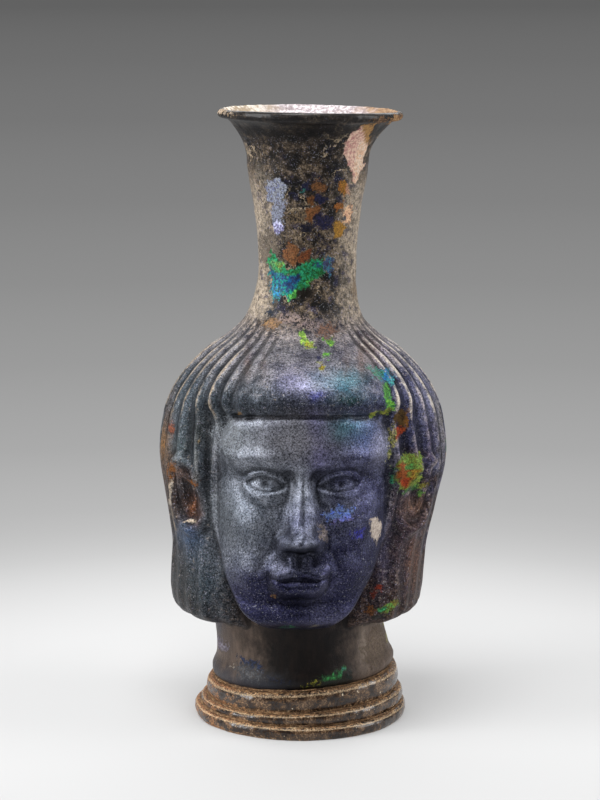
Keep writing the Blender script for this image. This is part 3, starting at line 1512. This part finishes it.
TINTS = (
    Tint(-2.6, 117.6, 5.4, 3.4, "6f6d8a", 0.75), Tint(1.6, 116.8, 2.2, 1.6, "b8b6dc", 0.45),
    Tint(7.2, 117.8, 5.6, 2.8, "7c8a9c", 0.6), Tint(15.2, 117.6, 5.4, 3, "3f7a88", 0.75),
    Tint(5.2, 114, 2.6, 1.3, "4a4a9c", 0.7), Tint(15, 112.2, 7.4, 2.2, "2a544c", 0.6),
    Tint(0, 109.2, 22, 4, "0c0e1a", 0.92), Tint(-30.8, 82, 3, 22, "22272e", 0.85),
    Tint(-16.6, 121.5, 1.3, 4.6, "5e483a", 0.55), Tint(-11.4, 122.5, 1.1, 4, "54423a", 0.45),
    Tint(14.6, 122.2, 1.3, 4, "54423a", 0.5), Tint(19.4, 122.4, 1.3, 4.6, "6a4c38", 0.6),
    Tint(31.8, 78, 2.4, 20, "1d1a28", 0.7), Tint(-24, 99.6, 7, 6.4, "8b9096", 0.85),
    Tint(5, 102.4, 2.8, 4.6, "5a5298", 0.8, 8), Tint(14, 102.6, 6, 3.4, "3a6f7c", 0.85),
    Tint(20, 99.6, 5, 3.4, "4c5c86", 0.6), Tint(26.2, 95.4, 2.8, 6, "a3a4be", 0.85),
    Tint(6, 96, 3, 5, "6a64a0", 0.6), Tint(-24.4, 74, 6, 9, "7c8288", 0.85),
    Tint(-27.6, 58, 3, 10, "6c727c", 0.6), Tint(26.6, 60, 2.4, 10, "585a7c", 0.6),
    Tint(-43, 88, 3.6, 30, "5a4636", 0.7), Tint(0, 100, 12, 7, "8b898f", 0.75),
    Tint(-16, 76, 12, 14, "4a515c", 0.5), Tint(14, 62, 13, 20, "1b1a30", 0.5),
    Tint(-10, 54, 12, 12, "1d1c32", 0.4), Tint(-37, 104, 5, 14, "46535c", 0.5),
    Tint(-28, 112, 7, 8, "3a444c", 0.5), Tint(-14, 113, 9, 6, "3a4048", 0.6),
    Tint(-35.4, 62, 4.6, 8, "3f5266", 0.6), Tint(-36, 48, 8, 10, "24292a", 0.7),
    Tint(31, 48, 7, 12, "2e211c", 0.6), Tint(-29.6, 50, 4.4, 8, "30424e", 0.5),
    Tint(-38, 76, 4.4, 6.4, "24120a", 0.95), Tint(-34, 73.6, 2, 4.4, "6e3f18", 0.85),
    Tint(-38.6, 85, 3.6, 2.6, "6a4a38", 0.7), Tint(-45, 93, 2.4, 5.4, "8a6438", 0.85),
    Tint(-32.6, 99.6, 3.2, 5.6, "10150f", 0.85), Tint(-36, 64.6, 3.4, 3.6, "3c5272", 0.75),
    Tint(-38.6, 94, 3, 5, "4c5a5e", 0.6), Tint(-27, 32, 2.2, 6, "20293c", 0.75),
    Tint(-23.6, 28, 2, 8, "3a3433", 0.5), Tint(20.6, 29, 1.6, 7, "a39384", 0.5),
    Tint(24.6, 27, 2.6, 6, "8e7c6e", 0.5), Tint(36, 74, 3.6, 5, "7a5c48", 0.8),
    Tint(33.4, 62, 4.6, 9, "3a2f38", 0.8), Tint(36.8, 56, 2, 10, "6a4c3c", 0.7),
    Tint(36, 108, 6, 12, "3a3d66", 0.4), Tint(41, 112, 5, 12, "6e6d7c", 0.6),
    Tint(46.4, 106, 2.4, 18, "8a857a", 0.85), Tint(42, 94, 3.6, 12, "28274c", 0.5),
    Tint(24, 124, 5, 4, "6a5448", 0.7, -40), Tint(27, 122.6, 3.2, 3.2, "8a8494", 0.7, -40),
)


@dataclass(frozen=True)
class Weathering:
    """Where the films and flakes lie on the settled bubble.

    Attributes:
        points: The vertices in millimetres.
        azimuth: Each vertex's angle from the middle of the face.
        on_skin: Which vertices lie outside.
    """

    points: Array
    azimuth: Array
    on_skin: Array

    def scattered(self) -> list[tuple[Array, Spot]]:
        """Flakes on the sides and the back, which the view from the front doesn't show.

        Returns:
            Pairs of the distance from a flake and the flake.
        """
        draw = np.random.default_rng(11)
        kinds = (
            ("8a7f72", "5c524a", CRUST), ("a5825c", "7c5c40", CRUST), ("9ba1b4", "5f6684", DULL),
            ("96592b", "6e3f22", DULL), ("1f2454", "14163a", STAIN), ("2a8a4c", "3f9a74", SHEEN),
            ("3f78b4", "2a4a86", SHEEN), ("8a9238", "b08a34", DULL), ("c9a18c", "d8bfa8", CRUST),
        )
        found = []
        for _ in range(14):
            middle = draw.uniform(1.3, 2 * math.pi - 1.3), draw.uniform(24, 184)
            for _ in range(int(draw.integers(2, 6))):
                around = middle[0] + draw.normal(0, 0.1)
                size = draw.uniform(0.9, 3.4)
                colour, second, film = kinds[int(draw.integers(len(kinds)))]
                level, wide = middle[1] + draw.normal(0, 5), size * draw.uniform(0.5, 1.1)
                spot = Spot(0, level, wide, size, colour, second, film, 2.6, 0.45, draw.uniform(-40, 40))
                turned = np.arctan2(np.sin(self.azimuth - around), np.cos(self.azimuth - around))
                along = turned * np.hypot(self.points[:, 0], self.points[:, 1])
                found.append((spot.distance(along, self.points[:, 2]), spot))
        return found

    def attributes(self) -> dict[str, Array]:
        """The values that the weathered glass reads at each vertex.

        Returns:
            The values under each attribute's name.
        """
        x, y, z = self.points.T.copy()
        front = self.on_skin & (y < 0)
        where = np.flatnonzero(front)
        x[where] += 1.0 * rough_field(self.points[where], 2.6, 4, 17.0)
        z[where] += 1.0 * rough_field(self.points[where], 2.6, 4, 23.0)
        best = np.full(len(x), np.inf)
        colour = np.zeros((len(x), 4))
        second = np.zeros((len(x), 4))
        finish = np.zeros((len(x), 4))
        flakes: list[tuple[Array, Spot | Shard]] = self.scattered()
        for flake in (*NECK_FLAKES, *HAIR_FLAKES, *FACE_FLAKES, *THROAT_FLAKES):
            flakes.append((np.where(front, flake.distance(x, z), np.inf), flake))
        for distance, flake in flakes:
            take = self.on_skin & ((distance < best) | (distance < 0))
            best = np.where(self.on_skin, np.minimum(best, distance), best)
            colour[take] = shade(flake.colour)
            second[take, :3] = shade(flake.second)[:3]
            second[take, 3] = flake.broken
            rough, metal, proud = flake.film.value
            finish[take] = (rough, metal, flake.ragged / MOST_RAGGED, proud)
        colour[:, 3] = np.clip(0.5 - best / (2 * FLAKE_REACH), 0, 1)
        tint = np.zeros((len(x), 4))
        for film in TINTS:
            share = np.where(front, film.share(x, z), 0.0)
            whole = 1 - (1 - tint[:, 3]) * (1 - share)
            part = np.where(whole > 0, share / np.maximum(whole, 1e-6), 0.0)
            for channel, value in enumerate(shade(film.colour)[:3]):
                tint[:, channel] = mix(tint[:, channel], value, part)
            tint[:, 3] = whole
        return {"flake": colour, "flake_second": second, "flake_finish": finish, "tint": tint}


class WeatheredGlass:
    """The bubble's skin: near-black glass under films that differ from place to place."""

    def __init__(self) -> None:
        """Start the finish with the noises that its films share."""
        self.finish = Finish("weathered_glass")
        f = self.finish
        self.fine = f.grain(0.55, 2.0, 0.8)
        self.grit = f.grain(1.3, 4.0, 0.7)
        self.blotch = f.grain(4.5, 5.0, 0.65)
        self.broad = f.grain(16.0, 3.0, 0.5)
        self.x, _, self.z = f.split()
        self.hair, self.face, self.convex, self.crest = f.attribute("skin")
        self.hidden, self.funnel, self.worn, _ = f.attribute("side")

    def cracks(self, size: float, width: float) -> Socket:
        """Thin winding lines, as the edges of flaking layers leave.

        Args:
            size: Size of the layers.
            width: The lines' width, as a share of the noise.

        Returns:
            How strong the lines are.
        """
        f = self.finish
        off = f.math("ABSOLUTE", f.less(f.grain(size, 4.0, 0.62), 0.5))
        return f.times(f.step(off, width, width * 0.3), f.step(self.broad, 0.44, 0.6))

    def right(self) -> Socket:
        """The share of the right-hand films, whose edge wanders over the middle."""
        return self.finish.edge(self.x, self.broad, 24.0, -16.0, 18.0)

    def films(self) -> Socket:
        """The colour of the films that cover whole regions.

        Returns:
            The films' colour.
        """
        f = self.finish
        colour = f.blend(f.edge(self.z, self.blotch, 5.0, 136.0, 128.0), self.neck_film(), self.crown_film())
        colour = f.blend(f.step(self.z, 50.0, 42.0), colour, self.throat_film())
        colour = f.blend(self.hair, colour, self.hair_film())
        return f.blend(self.face, colour, self.face_film())

    def crown_film(self) -> Socket:
        """Dusty violet grey with brown earth, and dark where it wore off.

        Returns:
            The film's colour.
        """
        f = self.finish
        dust = f.patchy(self.grit, 0.42, 0.6, "4a4650", "a39c9c")
        earth = f.patchy(self.grit, 0.42, 0.6, "54443a", "ac9884")
        dust = f.blend(f.edge(self.z, self.blotch, 16.0, 122.0, 130.0), dust, earth)
        return f.blend(f.edge(self.blotch, self.fine, 0.1, 0.36, 0.5), "131219", dust)

    def neck_film(self) -> Socket:
        """Black glass under crumbled brown earth, with pale grains and cracks, greyer at the two sides.

        Returns:
            The film's colour.
        """
        f = self.finish
        colour = f.patchy(self.blotch, 0.36, 0.62, "0b0a09", "332a22")
        earth = f.patchy(f.grain(0.9, 3.0, 0.7), 0.4, 0.62, "3f342a", "766754")
        off = f.math("ABSOLUTE", f.less(self.x, 2.6))
        sides = f.edge(off, self.blotch, 6.0, 7.0, 16.0)
        low = f.edge(self.z, self.blotch, 22.0, 196.0, 166.0)
        most = f.plus(f.times(low, 0.2), f.times(sides, 0.1))
        cover = f.step(f.plus(f.about(self.grit, self.blotch, 1.3), most), 0.52, 0.96)
        colour = f.blend(f.times(cover, 0.85), colour, earth)
        edge = f.times(sides, f.edge(self.z, self.blotch, 10.0, 186.0, 168.0))
        colour = f.blend(f.times(edge, 0.72), colour, "a89a88")
        violet = f.times(f.step(f.grain(3.4, 3.0, 0.6), 0.56, 0.64), low)
        colour = f.blend(f.times(violet, 0.6), colour, "1b1b3a")
        return f.blend(self.cracks(7.0, 0.02), colour, "98876f")

    def throat_film(self) -> Socket:
        """Bare dark glass with upright streaks and a thin brown bloom.

        Returns:
            The film's colour.
        """
        f = self.finish
        streaks = f.grain(1.6, 4.0, 0.6, (1.0, 1.0, 0.22))
        colour = f.patchy(streaks, 0.3, 0.75, "0a0605", "19110d")
        off = f.math("ABSOLUTE", f.less(self.x, 1.0))
        sides = f.edge(off, self.blotch, 10.0, 8.0, 24.0)
        bloom = f.times(sides, f.spread(f.step(streaks, 0.3, 0.7), 0.5, 0.85))
        colour = f.blend(bloom, colour, "6b5b50")
        low = f.times(f.edge(self.z, self.blotch, 6.0, 22.0, 16.0), f.step(self.x, 4.0, -14.0))
        return f.blend(f.times(low, 0.7), colour, "2c313b")

    def hair_film(self) -> Socket:
        """Slate film on the left and indigo on the right, browner below and rubbed pale on the crests.

        Returns:
            The film's colour.
        """
        f = self.finish
        right = self.right()
        slate = f.patchy(self.blotch, 0.3, 0.7, "24292e", "50575e")
        indigo = f.patchy(self.blotch, 0.3, 0.7, "1c1d32", "505370")
        colour = f.blend(right, slate, indigo)
        dust = f.patchy(self.blotch, 0.34, 0.62, "484650", "7d797c")
        top = f.edge(self.z, self.blotch, 12.0, 111.0, 122.0)
        colour = f.blend(f.times(top, 0.75), colour, dust)
        brown = f.patchy(self.grit, 0.4, 0.62, "231812", "5a4636")
        low = f.step(f.about(f.about(self.z, self.blotch, 20.0), self.broad, 60.0), 104.0, 54.0)
        low = f.times(low, f.spread(right, 0.35, 0.85))
        colour = f.blend(low, colour, brown)
        rubbed = f.edge(self.crest, self.blotch, 1.0, 0.7, 1.2)
        rubbed = f.times(rubbed, f.spread(f.step(self.broad, 0.42, 0.56), 0.6, 1.0))
        pale = f.blend(right, "8f8a82", "b0a090")
        colour = f.blend(f.times(rubbed, f.spread(right, 0.35, 0.6)), colour, pale)
        colour = f.toned(colour, f.spread(self.crest, 0.62, 1.45))
        return f.blend(f.step(self.grit, 0.62, 0.7), colour, "857a70")

    def crest_lines(self, colour: object) -> Socket:
        """Narrow lines along the strands' crests, where the film wore through to paler layers.

        Args:
            colour: The colour under it.

        Returns:
            The colour with the lines.
        """
        f = self.finish
        worn = f.edge(self.worn, self.grit, 0.7, 0.12, 0.55)
        worn = f.times(worn, f.spread(f.step(self.blotch, 0.38, 0.56), 0.3, 1.0))
        left = f.patchy(self.fine, 0.4, 0.6, "8a7a66", "c0ae98")
        pale = f.blend(self.right(), left, f.patchy(self.fine, 0.4, 0.6, "b0a698", "e2d8c8"))
        return f.blend(f.times(f.times(worn, self.hair), 0.8), colour, pale)

    def face_film(self) -> Socket:
        """A dull metallic film: greyer on the left and above, more violet on the right and below.

        Returns:
            The film's colour.
        """
        f = self.finish
        grey = f.patchy(self.blotch, 0.35, 0.7, "4d5159", "7f838c")
        indigo = f.patchy(self.blotch, 0.35, 0.66, "27283f", "4c4e68")
        colour = f.blend(self.right(), grey, indigo)
        violet = f.patchy(self.broad, 0.4, 0.66, "212238", "42425a")
        return f.blend(f.edge(self.z, self.broad, 20.0, 72.0, 50.0), colour, violet)

    def grainy(self, colour: object) -> Socket:
        """Pits and sparkle over whatever film lies there.

        Args:
            colour: The colour under it.

        Returns:
            The colour with the grain.
        """
        f = self.finish
        bare = f.times(f.step(self.z, 47.0, 42.0), f.less(1.0, f.plus(self.hair, self.face)))
        satin = f.plus(self.face, f.times(self.hair, 0.6), clamped=True)
        pepper = f.toward(f.times(f.plus(self.fine, self.grit), 0.5), self.fine, satin)
        pepper = f.step(pepper, f.toward(0.32, 0.26, self.face), f.toward(0.68, 0.74, self.face))
        pitted = f.toned(colour, f.spread(pepper, 0.15, 1.95))
        colour = f.blend(f.times(bare, 0.85), pitted, colour)
        dots = f.plus(f.grain(0.4, 1.0, 0.5), f.times(self.face, 0.02))
        sparkle = f.times(f.step(dots, 0.6, 0.74), f.step(self.grit, 0.36, 0.6))
        sparkle = f.times(sparkle, f.spread(self.face, 1.0, 0.6))
        pale = f.patchy(f.grain(0.9, 1.0, 0.5), 0.42, 0.58, "c2c4ca", "a7a4c2")
        colour = f.blend(f.times(sparkle, f.spread(bare, 0.6, 0.0)), colour, pale)
        return f.blend(f.times(f.step(self.convex, 0.46, 0.1), 0.6), colour, "050509")

    def flakes(self, colour: object) -> tuple[Socket, ...]:
        """Lay the flakes over a colour.

        Args:
            colour: The colour under them.

        Returns:
            The colour with the flakes, and their cover, roughness, metallic share and height.
        """
        f = self.finish
        first, nearness = f.stored("flake")
        second, broken = f.stored("flake_second")
        inside = f.spread(nearness, -FLAKE_REACH, FLAKE_REACH)
        rough, metal, ragged, proud = f.attribute("flake_finish")
        edge = f.spread(f.grain(1.4, 5.0, 0.78), -1.0, 1.0)
        inside = f.plus(inside, f.times(edge, f.times(ragged, 2 * MOST_RAGGED)))
        cover = f.step(inside, -0.2, 0.3)
        pits = f.grain(0.55, 3.0, 0.75)
        worn = f.step(f.less(broken, pits), -0.03, 0.06)
        cover = f.times(cover, f.less(1.0, worn))
        tint = f.step(f.grain(1.3, 4.0, 0.7), 0.42, 0.58)
        skin = f.blend(tint, first, second)
        pitted = f.step(self.fine, 0.34, 0.66)
        pitted = f.toward(f.spread(pitted, 0.35, 1.35), f.spread(pitted, 0.7, 1.15), f.step(rough, 0.6, 0.8))
        skin = f.toned(skin, pitted)
        dirt = f.times(f.step(self.grit, 0.6, 0.4), f.spread(f.step(rough, 0.8, 0.5), 0.15, 0.55))
        skin = f.blend(dirt, skin, "2b261f")
        return f.blend(cover, colour, skin), cover, rough, metal, proud

    def mouth_crust(self, colour: object) -> tuple[Socket, Socket]:
        """Pale crust on the top of the lip and inside the funnel.

        Args:
            colour: The colour under it.

        Returns:
            The colour with the crust, and where the crust lies.
        """
        f = self.finish
        blotch = f.grain(3.2, 4.0, 0.6)
        cover = f.edge(self.funnel, self.blotch, 1.0, 0.5, 0.62)
        tan = f.patchy(blotch, 0.42, 0.6, "a8967f", "e6dccf")
        pink = f.patchy(f.grain(1.2, 4.0, 0.6), 0.4, 0.62, "a3979a", "e6dcdf")
        crust = f.blend(f.edge(self.x, blotch, 9.0, -16.0, -2.0), tan, pink)
        brown = f.patchy(self.grit, 0.4, 0.6, "846750", "ab8e70")
        crust = f.blend(f.edge(self.x, blotch, 12.0, 13.0, 27.0), crust, brown)
        crust = f.blend(f.times(f.step(self.grit, 0.42, 0.32), 0.7), crust, "4a3c36")
        return f.blend(cover, colour, crust), cover

    def build(self) -> Material:
        """Lay every film, flake and crust, and set how the surface reflects.

        Returns:
            The material.
        """
        f = self.finish
        tint, strength = f.stored("tint")
        share = f.times(strength, f.spread(self.grit, 0.45, 1.25), clamped=True)
        colour = self.crest_lines(self.grainy(f.blend(share, self.films(), tint)))
        lip = f.edge(self.z, self.blotch, 4.0, 189.0, 194.4)
        gloss = f.edge(self.z, self.blotch, 2.0, 194.4, 196.6)
        colour = f.blend(f.times(lip, 0.8), colour, "0d0a0b")
        colour, cover, flake_rough, flake_metal, proud = self.flakes(colour)
        colour, crust = self.mouth_crust(colour)
        colour = f.blend(self.hidden, colour, "1a1513")
        rough = f.toward(f.spread(self.grit, 0.32, 0.62), f.spread(self.fine, 0.26, 0.48), self.face)
        rough = f.toward(rough, flake_rough, cover)
        metal = f.toward(f.times(self.hair, 0.5), 0.85, self.face)
        metal = f.toward(metal, flake_metal, cover)
        f.set(
            Base_Color=colour,
            Roughness=f.toward(rough, 0.85, crust),
            Metallic=f.toward(metal, 0.0, crust),
            IOR=1.5,
            Specular_IOR_Level=0.16,
            Coat_Weight=f.times(gloss, f.less(LIP_COAT, f.math("MAXIMUM", cover, crust), clamped=True)),
            Coat_Roughness=0.18,
        )
        raised = f.math("MAXIMUM", f.times(cover, proud), crust)
        pits = f.times(f.grain(0.5, 3.0, 0.8), f.spread(self.face, 0.6, 0.45))
        f.relief((f.grain(2.6, 4.0, 0.6), 0.2), (raised, 0.14), (pits, 0.25))
        return f.material


def trail_glass() -> Material:
    """Brown-black glass of the foot, glossy on its ridges, and soiled in its grooves and at the left.

    Returns:
        The material.
    """
    f = Finish("trail_glass")
    groove, left, ridge, _ = f.attribute("skin")
    blotch = f.grain(3.4, 5.0, 0.65)
    grit = f.grain(0.8, 4.0, 0.75)
    fine = f.grain(0.4, 2.0, 0.7)
    glass = f.patchy(blotch, 0.4, 0.62, "20130b", "523a25")
    bloom = f.step(f.plus(grit, f.spread(blotch, -0.4, 0.4)), 0.5, 0.72)
    glass = f.blend(bloom, glass, "6e5a46")
    want = f.plus(f.times(groove, 0.5), f.times(left, 0.42))
    want = f.plus(want, f.spread(blotch, -0.6, 0.6))
    want = f.plus(want, f.spread(grit, -0.5, 0.5))
    soil = f.step(want, 0.24, 0.7)
    earth = f.patchy(grit, 0.4, 0.6, "4a2f1c", "a07c58")
    earth = f.blend(f.step(f.grain(1.5, 3.0, 0.6), 0.54, 0.7), earth, "b8a07e")
    rust = f.times(f.step(f.plus(left, f.spread(blotch, -0.4, 0.4)), 0.5, 0.9), 0.6)
    earth = f.blend(rust, earth, f.patchy(grit, 0.4, 0.6, "3f1d12", "9a6640"))
    colour = f.blend(soil, glass, earth)
    line = f.step(f.plus(ridge, f.spread(grit, -0.6, 0.6)), 0.35, 0.9)
    colour = f.blend(f.times(line, 0.6), colour, "bda382")
    colour = f.toned(colour, f.spread(f.step(fine, 0.34, 0.66), 0.4, 1.75))
    specks = f.step(f.grain(1.6, 2.0, 0.5), 0.715, 0.76)
    colour = f.blend(specks, colour, "d8c8ae")
    rough = f.plus(f.spread(grit, 0.04, 0.3), f.times(soil, 0.5))
    f.set(
        Base_Color=colour,
        Roughness=rough,
        IOR=1.5,
        Specular_IOR_Level=0.3,
        Coat_Weight=f.spread(f.plus(soil, f.step(grit, 0.4, 0.62), clamped=True), 0.7, 0.0),
        Coat_Roughness=0.1,
    )
    f.relief((blotch, 0.25), (soil, 0.12), (grit, 0.1))
    return f.material


def packed_soil() -> Material:
    """Orange-brown soil with paler grains.

    Returns:
        The material.
    """
    f = Finish("packed_soil")
    grit = f.grain(0.7, 4.0, 0.7)
    blotch = f.grain(3.0, 4.0, 0.6)
    colour = f.patchy(blotch, 0.36, 0.64, "4a3220", "7d5c3c")
    colour = f.blend(f.step(grit, 0.5, 0.66), colour, "b2916a")
    colour = f.blend(f.step(grit, 0.42, 0.3), colour, "20150e")
    f.set(Base_Color=colour, Roughness=0.9)
    f.relief((blotch, 0.3), (grit, 0.25))
    return f.material


def broken_glass() -> Material:
    """The pontil wad: dark glass with a bright broken face and soil in it.

    Returns:
        The material.
    """
    f = Finish("broken_glass")
    blotch = f.grain(2.4, 5.0, 0.65)
    colour = f.patchy(blotch, 0.4, 0.62, "16110f", "46352a")
    colour = f.blend(f.step(f.grain(1.0, 4.0, 0.7), 0.58, 0.7), colour, "8a6844")
    f.set(Base_Color=colour, Roughness=f.spread(blotch, 0.18, 0.7), IOR=1.5)
    f.relief((blotch, 0.35))
    return f.material


@dataclass(frozen=True)
class Studio:
    """The pale floor, the soft light and the camera."""

    camera_distance: float = 0.85
    camera_height: float = 0.2522
    camera_pitch: float = math.radians(9.82)
    lens: float = 118.7
    sensor: float = 36.0
    floor_radius: float = 14.0
    lit_height: float = 0.1
    air_colour: str = "c4c6c9"
    air_strength: float = 0.3

    def floor(self) -> None:
        """Lay a round floor that darkens with distance, as a sweep of paper does."""
        disc = bmesh.new()
        bmesh.ops.create_circle(disc, cap_ends=True, radius=self.floor_radius, segments=96)
        mesh = bpy.data.meshes.new("paper_floor")
        disc.to_mesh(mesh)
        disc.free()
        mesh.materials.append(self.paper())
        placed("paper_floor", mesh)

    def paper(self) -> Material:
        """Paper that takes the light near the flask and fades to grey far from it.

        Returns:
            The material.
        """
        f = Finish("studio_paper")
        distance = f.vector("LENGTH", f.place)
        stops = ((0.0, "f4f4f4"), (120.0, "eeeeee"), (180.0, "dcdcdc"), (240.0, "cacaca"), (330.0, "bababa"))
        stops += ((480.0, "aaaaaa"), (750.0, "9b9b9b"), (1140.0, "8e8e8e"), (1770.0, "828282"))
        stops += ((3000.0, "767676"), (5000.0, "6e6e6e"), (10000.0, "626262"))
        colour: object = stops[0][1]
        for (near, _), (far, tone) in zip(stops, stops[1:]):
            share = f.math("DIVIDE", f.less(distance, near), far - near, clamped=True)
            colour = f.blend(share, colour, tone)
        path = f.node("LightPath")
        seen = f.math("MAXIMUM", path.outputs["Is Camera Ray"], path.outputs["Is Glossy Ray"])
        seen = f.math("MAXIMUM", seen, path.outputs["Is Transmission Ray"])
        lit = f.times(f.spread(f.step(distance, 90.0, 300.0), 0.3, 1.0), seen)
        glow = f.node("Emission")
        f.feed(glow.inputs["Color"], colour)
        both = f.node("MixShader")
        f.set(Base_Color="c3c3c3", Roughness=1.0, Specular_IOR_Level=0.0)
        f.feed(both.inputs[0], lit)
        f.feed(both.inputs[1], f.shader.outputs[0])
        f.feed(both.inputs[2], glow.outputs[0])
        output = next(node for node in f.tree.nodes if node.type == "OUTPUT_MATERIAL")
        f.feed(output.inputs["Surface"], both.outputs[0])
        return f.material

    def lamp(self, name: str, place: Place, size: tuple[float, float], watts: float) -> None:
        """Hang a soft box that looks at the middle of the flask.

        Args:
            name: The lamp's name.
            place: Where it hangs.
            size: Its width and height.
            watts: Its power.
        """
        light = bpy.data.lights.new(name, "AREA")
        light.shape = "RECTANGLE"
        light.size, light.size_y = size
        light.energy = watts
        lamp = placed(name, light)
        lamp.location = place
        aim = Vector((0.0, 0.0, self.lit_height)) - Vector(place)
        lamp.rotation_mode = "QUATERNION"
        lamp.rotation_quaternion = aim.to_track_quat("-Z", "Y")

    def world(self) -> None:
        """Light everything softly from all round."""
        world = bpy.data.worlds.new("studio_air")
        world.use_nodes = True
        background = world.node_tree.nodes["Background"]
        background.inputs["Color"].default_value = shade(self.air_colour)
        background.inputs["Strength"].default_value = self.air_strength
        bpy.context.scene.world = world

    def camera(self) -> None:
        """Set the camera at the height, the distance and the tilt of the view."""
        data = bpy.data.cameras.new("view")
        data.lens = self.lens
        data.sensor_width = self.sensor
        camera = placed("view", data)
        camera.location = (0.0, -self.camera_distance, self.camera_height)
        camera.rotation_euler = (math.pi / 2 - self.camera_pitch, 0.0, 0.0)
        bpy.context.scene.camera = camera

    def build(self) -> None:
        """Set up the floor, the lamps, the world and the camera."""
        self.floor()
        self.lamp("left_box", (-0.95, -0.3, 0.5), (0.45, 0.8), 10.5)
        self.lamp("right_box", (0.95, -0.15, 0.45), (0.45, 0.8), 7.0)
        self.lamp("top_box", (-0.1, -0.3, 1.15), (0.5, 0.5), 11.0)
        self.lamp("back_box", (0.0, 0.9, 0.7), (1.4, 0.5), 7.0)
        self.world()
        self.camera()
        bpy.context.scene.view_settings.view_transform = "Standard"


def build_foot(foot: FootSizes, settling: Settling) -> None:
    """Build the three trails and the soil in the grooves between them.

    Args:
        foot: Sizes of the foot.
        settling: How the hot glass sagged.
    """
    glass = trail_glass()
    trails = (
        GlassTrail("lowest_trail", "foot_base_ring", foot.base_radius, foot.base_bore, 0.0,
                   foot.base_height, 1.0, True),
        GlassTrail("middle_trail", "foot_middle_ring", foot.middle_radius, foot.bore, foot.middle_bottom,
                   foot.middle_height, 2.0),
        GlassTrail("upper_trail", "foot_top_ring", foot.top_radius, foot.bore, foot.top_bottom,
                   foot.top_height, 3.0),
    )
    for trail in trails:
        LOG.info("built %s", trail.build(settling, glass).name)
    soil = packed_soil()
    fillets = (
        SoilFillet("soil_in_low_groove", foot.middle_radius - 0.6, foot.base_height + 0.25, 0.9, 5.0),
        SoilFillet("soil_in_high_groove", foot.top_radius - 0.7, foot.top_bottom - 0.15, 1.1, 6.0),
        SoilFillet("soil_in_joint", foot.top_radius - 2.6, foot.joint - 0.05, 1.0, 7.0),
    )
    for fillet in fillets:
        LOG.info("built %s", fillet.build(settling, soil).name)


def main() -> None:
    """Build the flask, its studio and the record of its size."""
    logging.basicConfig(level=logging.INFO)
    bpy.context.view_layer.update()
    foot = FootSizes()
    form = HeadForm()
    neck_top = foot.joint + form.neck_top
    settling = Settling(foot, neck_top, neck_top + GlassBubble.flare_length)
    bubble = GlassBubble(form, foot, settling)
    LOG.info("built %s", bubble.build(WeatheredGlass().build()).name)
    build_foot(foot, settling)
    LOG.info("built %s", PontilWad().build(bubble, settling, broken_glass()).name)
    Studio().build()


if __name__ == "__main__":
    main()
